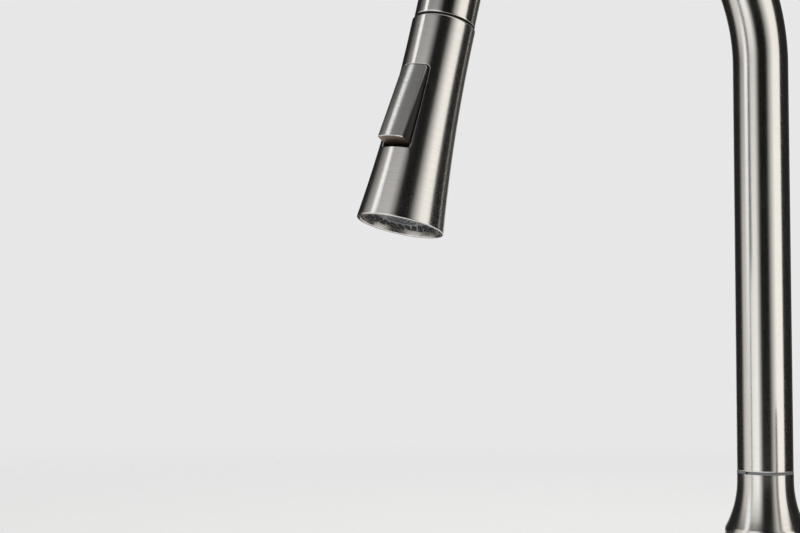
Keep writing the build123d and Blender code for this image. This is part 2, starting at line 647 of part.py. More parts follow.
def flared(inset, low, high):
    """Flared form of the head, drawn in by inset, between two distances from the seam."""
    top = (HEAD_TOP_RADIUS - inset, 0)
    middle = (HEAD_MID_RADIUS - inset, HEAD_LENGTH / 2)
    rim = (HEAD_RIM_RADIUS - inset, HEAD_LENGTH)
    end = (0, HEAD_LENGTH)
    form = turned(ThreePointArc(top, middle, rim), Line(rim, end), Line(end, (0, 0)), Line((0, 0), top))
    return form & rod(2 * HEAD_RIM_RADIUS, low, high)


def flared_radius(distance):
    """Radius of the head at a distance from the seam, on its three-point arc."""
    share = distance / HEAD_LENGTH
    first = (1 - share) * (1 - 2 * share)
    second = 4 * share * (1 - share)
    third = share * (2 * share - 1)
    return first * HEAD_TOP_RADIUS + second * HEAD_MID_RADIUS + third * HEAD_RIM_RADIUS


face = HEAD_LENGTH - FACE_RECESS
plate_low = face - FACE_THICKNESS
core_end = plate_low - CHAMBER_HEIGHT
pocket_middle = (POCKET_TOP + POCKET_END) / 2
rocker_pivot = flared_radius(pocket_middle) - ROCKER_PIVOT_DEPTH
pivot_place = Pos(rocker_pivot, 0, pocket_middle)
arm_tip = rocker_pivot - ROCKER_ARM
tip_drop = ROCKER_ARM * sin(radians(ROCKER_TILT))


def head_pieces():
    """Spray head: shell, core, valve parts, face and rocker, docked and turned as in use."""
    pieces = {"head_shell": head_shell(), "head_core": head_core(), "rocker_button": rocker()}
    pieces.update(inlet_parts())
    pieces.update(diverter_parts())
    pieces.update(face_parts())
    return placed(head_frame, pieces)


def pocket_outline(width, height, inset):
    """Outline of the rocker's opening, drawn in by inset, with sharper corners towards the rim."""
    outline = Rectangle(width, height)
    outline = fillet(outline.vertices().group_by(Axis.Y)[0], POCKET_CORNER - inset)
    return fillet(outline.vertices().group_by(Axis.Y)[-1], POCKET_END_CORNER - inset)


def pocket_block(width, x_low):
    """Rounded opening for the rocker, from a depth outwards."""
    outline = pocket_outline(width, POCKET_END - POCKET_TOP, 0)
    place = Plane(origin=(x_low, 0, pocket_middle), x_dir=(0, 1, 0), z_dir=(1, 0, 0))
    return extrude(place * outline, 2 * HEAD_RIM_RADIUS)


def head_shell():
    """Flared shell with a rounded shoulder, a hole for the stub and an opening for the rocker."""
    shell = flared(0, FACE_GAP, HEAD_LENGTH)
    shell = fillet(shell.edges().group_by(Axis.Z)[0], HEAD_SHOULDER)
    shell -= flared(HEAD_WALL, FACE_GAP + HEAD_TOP_WALL, HEAD_LENGTH)
    shell = fillet(shell.edges().group_by(Axis.Z)[-1], HEAD_RIM_ROUND)
    shell -= rod(STUB_RADIUS + SOFT_GAP, 0, HEAD_TOP_WALL + CUT_PAST)
    shell -= pocket_block(POCKET_WIDTH, 0)
    return fillet([edge for edge in shell.edges() if rims_pocket(edge)], POCKET_EDGE)


def rims_pocket(edge):
    """Whether an edge of the shell runs round the rocker's opening on the outer face."""
    places = [edge @ share for share in (0, 1 / 2, 1)]
    outside = all(abs(hypot(one.X, one.Y) - flared_radius(one.Z)) < HEAD_WALL / 4 for one in places)
    return outside and all(POCKET_TOP - SEAT_FIT < one.Z < POCKET_END + SEAT_FIT for one in places)


def head_core():
    """Core inside the shell: inlet stub on top, waterway, spool bore, rocker pocket and pin holes."""
    core_top = FACE_GAP + HEAD_TOP_WALL + FACE_GAP
    core = flared(HEAD_WALL + CORE_GAP, core_top, core_end) + rod(STUB_RADIUS, -STUB_LENGTH, core_top)
    groove_half = INLET_RING_SECTION / 2 + FACE_GAP
    groove_floor = STUB_RADIUS - INLET_RING_SECTION
    core -= sleeve(STUB_RADIUS + CUT_PAST, groove_floor, -INLET_RING_PLACE - groove_half,
                   -INLET_RING_PLACE + groove_half)
    spool_low = pocket_middle - SPOOL_LENGTH / 2 - SPOOL_ROOM
    spool_high = pocket_middle + SPOOL_LENGTH / 2 + SPOOL_ROOM
    core -= rod(STUB_BORE, -STUB_LENGTH, -STUB_LENGTH + CHECK_VALVE_LENGTH)
    core -= rod(WATERWAY_RADIUS, -STUB_LENGTH, spool_low)
    core -= Pos(SPOOL_OFFSET, 0, 0) * rod(SPOOL_RADIUS + RUN_FIT, spool_low, spool_high)
    core -= Pos(SPOOL_OFFSET, 0, 0) * rod(WATERWAY_RADIUS, spool_high, core_end)
    pocket_floor = rocker_pivot + ROCKER_PIVOT_DEPTH - ROCKER_CAP_DEPTH - ROCKER_ROOM
    pocket_half = POCKET_WIDTH / 2 + ROCKER_SIDE_GAP + SOFT_GAP
    core -= block((pocket_floor, 2 * HEAD_RIM_RADIUS), (-pocket_half, pocket_half),
                  (POCKET_TOP - CUT_PAST, POCKET_END + CUT_PAST))
    web_half = ROCKER_WEB_WIDTH / 2 + ARM_SLOT_ROOM
    web_reach = 2 * ROCKER_WEB_RADIUS + ARM_SLOT_ROOM
    web_low = rocker_pivot - ROCKER_WEB_RADIUS - ARM_SLOT_ROOM
    core -= block((web_low, pocket_floor), (-web_half, web_half),
                  (pocket_middle - web_reach, pocket_middle + web_reach))
    arm_half = ROCKER_ARM_WIDTH / 2 + ARM_SLOT_ROOM
    arm_reach = ROCKER_TIP_RADIUS + tip_drop + ARM_SLOT_ROOM
    core -= block((SPOOL_OFFSET, web_low), (-arm_half, arm_half),
                  (pocket_middle - arm_reach, pocket_middle + arm_reach))
    pin_half = ROCKER_WEB_WIDTH / 2 + ROCKER_PIN_GRIP
    return core - pivot_place * Rot(90, 0, 0) * rod(ROCKER_PIN_RADIUS + SEAT_FIT, -pin_half, pin_half)


def rocker_crown():
    """Rod whose outer side is the rocker's face: crowned across, straight along, proud towards the end."""
    top = Vector(flared_radius(POCKET_TOP) + ROCKER_STAND_TOP, 0, POCKET_TOP)
    end = Vector(flared_radius(POCKET_END) + ROCKER_STAND_END, 0, POCKET_END)
    along = (end - top).normalized()
    middle = (top + end) / 2 - Vector(0, 1, 0).cross(along) * ROCKER_CROWN
    length = POCKET_END - POCKET_TOP
    return Plane(origin=middle, z_dir=along) * rod(ROCKER_CROWN, -length, length)


def rocker():
    """Rocker button with its web, pivot hole and the arm that moves the spool, tipped as at rest."""
    tipped = pivot_place * Rot(0, ROCKER_TILT, 0) * pivot_place.inverse()
    cap_floor = rocker_pivot + ROCKER_PIVOT_DEPTH - ROCKER_CAP_DEPTH
    top = POCKET_TOP + ROCKER_TOP_GAP
    end = POCKET_END - ROCKER_END_GAP
    width = POCKET_WIDTH - 2 * ROCKER_SIDE_GAP
    outline = pocket_outline(width, end - top, ROCKER_SIDE_GAP)
    place = Plane(origin=(cap_floor, 0, (top + end) / 2), x_dir=(0, 1, 0), z_dir=(1, 0, 0))
    cap = extrude(place * outline, 2 * HEAD_RIM_RADIUS)
    past_face, past_end = cap_floor + 2 * HEAD_RIM_RADIUS + CUT_PAST, end + CUT_PAST
    face_end = end - (past_face - cap_floor) * tan(radians(ROCKER_UNDERSIDE))
    underside = Polyline((cap_floor, end), (past_face, face_end), (past_face, past_end),
                         (cap_floor, past_end), close=True)
    cap -= extrude(Plane.XZ * make_face(underside), width, both=True)
    cap = tipped * cap & rocker_crown()
    cap = chamfer(cap.faces().sort_by(Axis.X)[-1].edges(), ROCKER_EDGE)
    web_half = ROCKER_WEB_WIDTH / 2
    web = pivot_place * Rot(90, 0, 0) * rod(ROCKER_WEB_RADIUS, -web_half, web_half)
    web += block((rocker_pivot, cap_floor + FACE_GAP), (-web_half, web_half),
                 (pocket_middle - ROCKER_WEB_RADIUS, pocket_middle + ROCKER_WEB_RADIUS))
    arm_half = ROCKER_ARM_WIDTH / 2
    thick_half = ROCKER_ARM_THICKNESS / 2
    arm = block((arm_tip, rocker_pivot), (-arm_half, arm_half),
                (pocket_middle - thick_half, pocket_middle + thick_half))
    arm += Pos(arm_tip, 0, pocket_middle) * Rot(90, 0, 0) * rod(ROCKER_TIP_RADIUS, -arm_half, arm_half)
    button = cap + tipped * (web + arm)
    return button - pivot_place * Rot(90, 0, 0) * rod(ROCKER_PIN_RADIUS + RUN_FIT, -web_half, web_half)


def inlet_parts():
    """Check valve and O-ring in the stub, docking nut round it and the ferrule it holds."""
    ring_middle = STUB_RADIUS - INLET_RING_SECTION / 2 + SEAT_FIT
    valve_low = -STUB_LENGTH + SEAT_FIT
    valve = sleeve(STUB_BORE - SEAT_FIT, CHECK_VALVE_BORE, valve_low, -STUB_LENGTH + CHECK_VALVE_LENGTH)
    nut_foot = DOCK_MOUTH_RADIUS - SOFT_GAP
    nut_head = nut_foot - DOCK_NUT_TAPER
    nut = lathe((0, -DOCK_NUT_LENGTH), (nut_head, -DOCK_NUT_LENGTH), (nut_foot, -FACE_GAP), (0, -FACE_GAP))
    nut -= rod(STUB_RADIUS + RUN_FIT, -NUT_SHOULDER, 0)
    nut -= rod(FERRULE_RADIUS + SEAT_FIT, -DOCK_NUT_LENGTH, -NUT_SHOULDER)
    flange_top = -NUT_SHOULDER + FERRULE_FLANGE
    ferrule = rod(FERRULE_RADIUS, -DOCK_NUT_LENGTH - FERRULE_BEHIND_NUT, flange_top)
    ferrule += rod(STUB_RADIUS, -NUT_SHOULDER, flange_top)
    ferrule -= rod(HOSE_RADIUS + SEAT_FIT, -DOCK_NUT_LENGTH - FERRULE_BEHIND_NUT, -NUT_SHOULDER)
    ferrule -= rod(STUB_BORE, -NUT_SHOULDER, flange_top)
    return {"check_valve": valve, "inlet_o_ring": ring(INLET_RING_SECTION, ring_middle, -INLET_RING_PLACE),
            "docking_nut": nut, "hose_ferrule": ferrule}


def diverter_parts():
    """Spool that the rocker's arm slides, its O-rings and the rocker's pin."""
    middle = pocket_middle + tip_drop
    half = SPOOL_LENGTH / 2
    groove_half = ROCKER_TIP_RADIUS + RUN_FIT
    ring_floor = SPOOL_RADIUS - SPOOL_RING_SECTION
    ring_half = SPOOL_RING_SECTION / 2 + RUN_FIT
    spool = rod(SPOOL_RADIUS, middle - half, middle + half)
    spool -= sleeve(SPOOL_RADIUS + CUT_PAST, SPOOL_NECK_RADIUS, middle - groove_half, middle + groove_half)
    rings = []
    for height in (middle - half + SPOOL_RING_INSET, middle + half - SPOOL_RING_INSET):
        spool -= sleeve(SPOOL_RADIUS + CUT_PAST, ring_floor, height - ring_half, height + ring_half)
        rings.append(ring(SPOOL_RING_SECTION, SPOOL_RADIUS - SPOOL_RING_SECTION / 2, height))
    place = Pos(SPOOL_OFFSET, 0, 0)
    pin_half = ROCKER_WEB_WIDTH / 2 + ROCKER_PIN_GRIP - FACE_GAP
    pin = pivot_place * Rot(90, 0, 0) * rod(ROCKER_PIN_RADIUS, -pin_half, pin_half)
    return {"diverter_spool": place * spool, "spool_o_rings": [place * one for one in rings],
            "rocker_pin": pin}


def face_parts():
    """Spray chamber, plate with rubber nozzles, and the aerator in its middle."""
    inset = HEAD_WALL + FACE_GAP_TO_SHELL
    face_radius = flared_radius(face) - inset
    aerator_end = face + AERATOR_STAND
    aerator_low = aerator_end - AERATOR_HEIGHT
    screen_end = aerator_end - SCREEN_SINK
    chamber = flared(inset, core_end, plate_low)
    channel_outer = flared_radius(plate_low) - inset - CHAMBER_WALL
    channel_inner = AERATOR_RADIUS + CHAMBER_WALL
    chamber -= sleeve(channel_outer, channel_inner, plate_low - CHAMBER_CHANNEL, plate_low)
    chamber -= rod(AERATOR_RADIUS + SEAT_FIT, aerator_low, plate_low)
    chamber -= rod(WATERWAY_RADIUS, core_end, plate_low)
    chamber -= Pos(channel_inner + FEED_RADIUS, 0, 0) * rod(FEED_RADIUS, core_end, plate_low)
    plate = flared(inset, plate_low, face) - rod(AERATOR_RADIUS + SEAT_FIT, plate_low, face)
    nozzles = []
    for row, count in enumerate(NOZZLE_RING_COUNTS):
        circle = face_radius - NOZZLE_EDGE - NOZZLE_RING_STEP * row
        for x, y in around(count, circle, 180 * row / count):
            place = Pos(x, y, 0)
            plate -= place * rod(NOZZLE_RADIUS, plate_low, face)
            tip = Pos(0, 0, face) * Cone(NOZZLE_RADIUS, NOZZLE_TIP_RADIUS, NOZZLE_STAND, align=BASE)
            nozzles.append(place * (rod(NOZZLE_RADIUS - SEAT_FIT, plate_low, face) + tip))
    housing = sleeve(AERATOR_RADIUS, AERATOR_RADIUS - AERATOR_WALL, aerator_low, aerator_end)
    screen = rod(AERATOR_RADIUS - AERATOR_WALL - SEAT_FIT, screen_end - SCREEN_THICKNESS, screen_end)
    reach = AERATOR_RADIUS - AERATOR_WALL - SCREEN_HOLE - SCREEN_MARGIN
    steps = int(reach / SCREEN_PITCH) + 1
    for row in range(-steps, steps + 1):
        for column in range(-steps, steps + 1):
            x = SCREEN_PITCH * (column + (row % 2) / 2)
            y = SCREEN_PITCH * sqrt(3) / 2 * row
            if x * x + y * y < reach * reach:
                screen -= Pos(x, y, 0) * rod(SCREEN_HOLE, screen_end - SCREEN_THICKNESS, screen_end)
    return {"spray_chamber": chamber, "spray_plate": plate, "spray_nozzles": nozzles,
            "aerator_housing": housing, "aerator_screen": screen}


def all_pieces():
    """Every piece of the faucet by its name."""
    pieces = {}
    for group in (base_pieces, clamp_pieces, swivel_pieces, spout_pieces, lower_hose_pieces, cartridge_pieces,
                  handle_pieces, head_pieces):
        pieces.update(group())
    return pieces


os.makedirs("parts", exist_ok=True)
for name, piece in all_pieces().items():
    export_step(piece, f"parts/{name}.step")
print(f"seam {seam}, reach {-(seam + end_direction * HEAD_LENGTH).Y:.1f} mm, "
      f"head tilt {180 - degrees(bend):.1f} degrees, button side {button_side}")
print(f"rocker pivot {(head_frame * pivot_place).position}")
print(f"handle pivot {(boss_frame * Pos(0, 0, pivot_reach)).position}")
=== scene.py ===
"""Pull-down kitchen faucet in brushed nickel, dressed for a soft studio view.

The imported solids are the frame. This script gives every solid its finish, replaces the spout tube and
the hose by finer pieces, and sets the studio and the camera.
"""

from __future__ import annotations

import json
import logging
import math
from dataclasses import dataclass
from enum import Enum
from functools import partial, reduce
from itertools import pairwise
from typing import Sequence, Union

import bpy
from mathutils import Matrix, Vector

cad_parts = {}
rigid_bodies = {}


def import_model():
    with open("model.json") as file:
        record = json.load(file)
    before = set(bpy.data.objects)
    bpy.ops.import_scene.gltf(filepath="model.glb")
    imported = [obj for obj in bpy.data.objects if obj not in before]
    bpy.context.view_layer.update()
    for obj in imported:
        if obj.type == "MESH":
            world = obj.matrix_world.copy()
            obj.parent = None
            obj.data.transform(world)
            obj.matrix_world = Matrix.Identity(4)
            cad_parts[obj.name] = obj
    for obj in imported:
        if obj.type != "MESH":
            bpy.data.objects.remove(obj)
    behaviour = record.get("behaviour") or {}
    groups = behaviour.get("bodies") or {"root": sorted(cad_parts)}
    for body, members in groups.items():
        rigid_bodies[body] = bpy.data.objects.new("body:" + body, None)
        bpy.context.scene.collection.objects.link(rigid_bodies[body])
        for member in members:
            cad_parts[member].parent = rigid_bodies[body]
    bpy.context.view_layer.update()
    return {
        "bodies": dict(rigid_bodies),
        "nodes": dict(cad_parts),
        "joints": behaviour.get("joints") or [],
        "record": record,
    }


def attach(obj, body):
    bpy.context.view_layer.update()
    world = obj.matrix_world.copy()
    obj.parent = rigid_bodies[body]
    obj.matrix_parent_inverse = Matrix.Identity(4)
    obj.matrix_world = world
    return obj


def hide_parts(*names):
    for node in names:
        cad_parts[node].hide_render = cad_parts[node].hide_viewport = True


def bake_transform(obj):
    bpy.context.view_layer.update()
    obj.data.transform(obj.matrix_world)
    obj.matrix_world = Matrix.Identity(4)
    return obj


LOG = logging.getLogger("faucet")

Pair = tuple[float, float]
Triple = tuple[float, float, float]
Levels = tuple[float, float, float, float]
Node = bpy.types.Node
Tree = bpy.types.NodeTree
Socket = bpy.types.NodeSocket
Object = bpy.types.Object
Value = Union[Socket, float, Sequence[float]]
UNIT: Pair = (0.0, 1.0)


class Brushing(Enum):
    """Which way the brush lines run on a piece, seen from its axis."""

    AROUND = "around"
    ALONG = "along"


class Slot(Enum):
    """Material slots of the record, by name; no piece here takes its finish from them."""

    NICKEL = "brushed_nickel"
    BRAID = "hose_braid"


class Effect(Enum):
    """Shared surface effects, named as the methods that build their groups."""

    BRUSH_LINES = "brush_lines"
    GRAIN = "moulded_grain"
    HANDLING = "handling"
    BRAID = "braid"


@dataclass(frozen=True)
class AxisFrame:
    """A straight axis that a finish follows.

    Args:
        origin: A point on the axis, in metres.
        axis: The direction of the axis.
    """

    origin: Triple
    axis: Triple

    def rotation(self) -> Triple:
        """Returns the Euler angles that turn +Z onto the axis."""
        return tuple(Vector(self.axis).to_track_quat("Z", "Y").to_euler())


BEND_TURN = math.radians(166.5)
SEAM = (0.0, -0.188776, 0.309443)
END_DIRECTION = (0.0, -math.sin(BEND_TURN), math.cos(BEND_TURN))
UPRIGHT = AxisFrame((0.0, 0.0, 0.0), (0.0, 0.0, 1.0))
BOSS_AXIS = AxisFrame((0.034, 0.0, 0.040), (1.0, 0.0, 0.0))
HEAD_AXIS = AxisFrame(SEAM, END_DIRECTION)


class Graph:
    """A thin hand on a node tree: adds nodes, sets their inputs and links sockets."""

    def __init__(self, tree: Tree) -> None:
        """Keeps the tree that the nodes go into."""
        self.tree = tree

    def node(self, kind: str, inputs: dict[str | int, Value] | None = None, **settings: object) -> Node:
        """Adds one node.

        Args:
            kind: The node's class name.
            inputs: Values or sockets by input name or number.
            **settings: Properties of the node itself.

        Returns:
            The new node.
        """
        made = self.tree.nodes.new(kind)
        for key, setting in settings.items():
            setattr(made, key, setting)
        self.feed(made.inputs, inputs or {})
        return made

    def feed(self, targets: bpy.types.NodeInputs, values: dict[str | int, Value]) -> None:
        """Feeds inputs of a node.

        Args:
            targets: The node's inputs.
            values: Sockets to link to them, or values to set on them, by name or number.
        """
        for key, value in values.items():
            if isinstance(value, Socket):
                self.tree.links.new(value, targets[key])
            else:
                targets[key].default_value = value

    def math(self, operation: str, *values: Value) -> Socket:
        """Returns the result of a math node on one or two values."""
        return self.node("ShaderNodeMath", dict(enumerate(values)), operation=operation).outputs[0]

    def vector(self, operation: str, *values: Value) -> Socket:
        """Returns the vector result of a vector math node."""
        return self.node("ShaderNodeVectorMath", dict(enumerate(values)), operation=operation).outputs[0]

    def measure(self, operation: str, *values: Value) -> Socket:
        """Returns the number that a vector math node gives, such as a length."""
        return self.node("ShaderNodeVectorMath", dict(enumerate(values)), operation=operation).outputs["Value"]

    def spread(self, value: Socket, ends: Pair = UNIT, limits: Pair = UNIT, **settings: str) -> Socket:
        """Returns a value that runs between two ends while another runs between its limits."""
        inputs = dict(zip(("From Min", "From Max", "To Min", "To Max"), (*limits, *ends)))
        return self.node("ShaderNodeMapRange", {"Value": value, **inputs}, **settings).outputs[0]

    def noise(self, place: Socket, scale: Value, detail: float, warp: float = 0.0) -> Socket:
        """Returns the value of a noise texture at a place."""
        inputs = {"Vector": place, "Scale": scale, "Detail": detail, "Distortion": warp}
        return self.node("ShaderNodeTexNoise", inputs).outputs[0]

    def weigh(self, first: Socket, second: Socket, share: float = 0.5) -> Socket:
        """Returns the sum of two values, in which the first one has the given share."""
        return self.math("ADD", self.math("MULTIPLY", first, share), self.math("MULTIPLY", second, 1.0 - share))

    def mix(self, kind: str, share: Socket, low: Value, high: Value) -> Socket:
        """Mixes two numbers, vectors or colours.

        Args:
            kind: The mix node's data type.
            share: Share of the second one.
            low: What a share of 0 gives.
            high: What a share of 1 gives.

        Returns:
            The mixed output.
        """
        made = self.node("ShaderNodeMix", {"Factor": share, "A": low, "B": high}, data_type=kind)
        return made.outputs["Result"]

    def blend(self, share: Socket, low: Triple, high: Triple) -> Socket:
        """Returns a colour between two colours by a share."""
        return self.mix("RGBA", share, (*low, 1.0), (*high, 1.0))


class Effects:
    """Shared surface effects as shader node groups, each made once.

    A noise is given as its scale and its detail. Limits are what a value is drawn out from.
    """

    hair: Pair = (1.0, 4.0)
    hair_share: float = 0.45
    coarse: Pair = (0.17, 2.0)
    line_limits: Pair = (0.3, 0.7)
    brush_drift: Pair = (38.0, 3.0)
    grain_detail: float = 5.0
    grain_drift: Pair = (55.0, 2.0)
    smear_detail: float = 4.0
    smear_warp: float = 1.2
    smear_limits: Pair = (0.52, 0.78)

    def __init__(self) -> None:
        """Starts with no group made."""
        self.made: dict[Effect, Tree] = {}

    def put(self, graph: Graph, effect: Effect, place: Socket, measure: Value) -> bpy.types.NodeOutputs:
        """Puts an effect's group into a material.

        Args:
            graph: The material's graph.
            effect: Which effect.
            place: The place on the piece.
            measure: The group's other input, such as its fineness.

        Returns:
            The outputs of the group node.
        """
        if effect not in self.made:
            self.made[effect] = bpy.data.node_groups.new(effect.value, "ShaderNodeTree")
            getattr(self, effect.value)(self.made[effect])
        return graph.node("ShaderNodeGroup", {0: place, 1: measure}, node_tree=self.made[effect]).outputs

    @staticmethod
    def sockets(tree: Tree, inputs: dict[str, str],
                outputs: tuple[str, ...]) -> tuple[Graph, bpy.types.NodeOutputs, bpy.types.NodeInputs]:
        """Makes a group's sockets and its two end nodes.

        Args:
            tree: The group.
            inputs: Kind of socket by input name, such as Vector or Float.
            outputs: Names of the float outputs.

        Returns:
            The group's graph, the sockets that come in and the sockets that go out.
        """
        for name, kind in inputs.items():
            tree.interface.new_socket(name, in_out="INPUT", socket_type=f"NodeSocket{kind}")
        for name in outputs:
            tree.interface.new_socket(name, in_out="OUTPUT", socket_type="NodeSocketFloat")
        graph = Graph(tree)
        return graph, graph.node("NodeGroupInput").outputs, graph.node("NodeGroupOutput").inputs

    def brush_lines(self, tree: Tree) -> None:
        """Builds fine brush lines and their slow drift, from a place stretched along the lines.

        Args:
            tree: The group.
        """
        graph, start, end = self.sockets(tree, {"Place": "Vector", "Stretch": "Vector"}, ("Lines", "Drift"))
        place = graph.vector("MULTIPLY", start["Place"], start["Stretch"])
        lines = graph.weigh(graph.noise(place, *self.hair), graph.noise(place, *self.coarse), self.hair_share)
        drift = graph.noise(start["Place"], *self.brush_drift)
        graph.feed(end, {"Lines": graph.spread(lines, limits=self.line_limits), "Drift": drift})

    def moulded_grain(self, tree: Tree) -> None:
        """Builds the fine pebble of a moulded surface and its broad unevenness.

        Args:
            tree: The group.
        """
        graph, start, end = self.sockets(tree, {"Place": "Vector", "Fineness": "Float"}, ("Grain", "Drift"))
        cells = graph.node("ShaderNodeTexVoronoi", {"Vector": start["Place"], "Scale": start["Fineness"]})
        fine = graph.noise(start["Place"], start["Fineness"], self.grain_detail)
        drift = graph.noise(start["Place"], *self.grain_drift)
        graph.feed(end, {"Grain": graph.weigh(cells.outputs["Distance"], fine), "Drift": drift})

    def handling(self, tree: Tree) -> None:
        """Builds faint smears where water and fingers dry.

        Args:
            tree: The group.
        """
        graph, start, end = self.sockets(tree, {"Place": "Vector", "Size": "Float"}, ("Smear",))
        warped = graph.noise(start["Place"], start["Size"], self.smear_detail, self.smear_warp)
        graph.feed(end, {"Smear": graph.spread(warped, limits=self.smear_limits)})

    def braid(self, tree: Tree) -> None:
        """Builds the crossing strands of a braided sleeve, from a UV place in turns and in pitches.

        Args:
            tree: The group.
        """
        graph, start, end = self.sockets(tree, {"Place": "Vector", "Strands": "Float"}, ("Height", "Side"))
        split = graph.node("ShaderNodeSeparateXYZ", {0: start["Place"]}).outputs
        around = graph.math("MULTIPLY", split["X"], start["Strands"])
        along = graph.math("MULTIPLY", split["Y"], start["Strands"])
        left = graph.math("PINGPONG", graph.math("ADD", around, along), 0.5)
        right = graph.math("PINGPONG", graph.math("SUBTRACT", around, along), 0.5)
        side = graph.math("GREATER_THAN", left, right)
        graph.feed(end, {"Height": graph.math("MAXIMUM", left, right), "Side": side})


EFFECTS = Effects()
BRUSH_FINE, BRUSH_SLOW = 6500.0, 14.0
BRUSH_DEPTH = 0.00001
SMEAR_SIZE, SMEAR_ROUGH = 24.0, 0.03
QUARTER_TURN = 0.25


class Surface(Graph):
    """A new material's graph, with the inputs of its one Principled shader."""

    def __init__(self, name: str) -> None:
        """Makes the material.

        Args:
            name: The material's name.
        """
        material = bpy.data.materials.new(name)
        material.use_nodes = True
        super().__init__(material.node_tree)
        self.shader = next(n for n in self.tree.nodes if n.type == "BSDF_PRINCIPLED").inputs

    def spot(self, frame: AxisFrame | None = None) -> Socket:
        """Finds the place on the piece, in metres.

        Args:
            frame: An axis that the place is turned to, so that its z runs along the axis.

        Returns:
            The place.
        """
        place = self.node("ShaderNodeTexCoord").outputs["Object"]
        if frame is None:
            return place
        inputs = {"Vector": place, "Location": frame.origin, "Rotation": frame.rotation()}
        return self.node("ShaderNodeMapping", inputs, vector_type="TEXTURE").outputs[0]

    def around(self, frame: AxisFrame) -> Socket:
        """Finds the direction round an axis at each place.

        Args:
            frame: The axis.

        Returns:
            The direction, in the world.
        """
        reach = self.vector("SUBTRACT", self.spot(), frame.origin)
        turned = self.vector("NORMALIZE", self.vector("CROSS_PRODUCT", frame.axis, reach))
        return self.node("ShaderNodeVectorTransform", {0: turned}, vector_type="VECTOR",
                         convert_from="OBJECT", convert_to="WORLD").outputs[0]

    def smeared(self, place: Socket, rough: Socket) -> Socket:
        """Returns a nickel plating's roughness with faint smears on it."""
        smear = EFFECTS.put(self, Effect.HANDLING, place, SMEAR_SIZE)["Smear"]
        return self.math("ADD", rough, self.math("MULTIPLY", smear, SMEAR_ROUGH))

    def relief(self, height: Socket, depth: float, strength: float) -> Socket:
        """Returns the normal of a height, which is a share of a depth in metres."""
        inputs = {"Strength": strength, "Distance": depth, "Height": height}
        return self.node("ShaderNodeBump", inputs).outputs[0]


@dataclass(frozen=True)
class Finish:
    """A finish, whose material is made at its first use.

    Args:
        name: The material's name.
    """

    name: str

    def made(self) -> bpy.types.Material:
        """Finds the finish's material, or makes it.

        Returns:
            The material.
        """
        if self.name not in bpy.data.materials:
            self.shade(Surface(self.name))
        return bpy.data.materials[self.name]

    def shade(self, on: Surface) -> None:
        """Feeds the shader of a new surface."""
        raise NotImplementedError


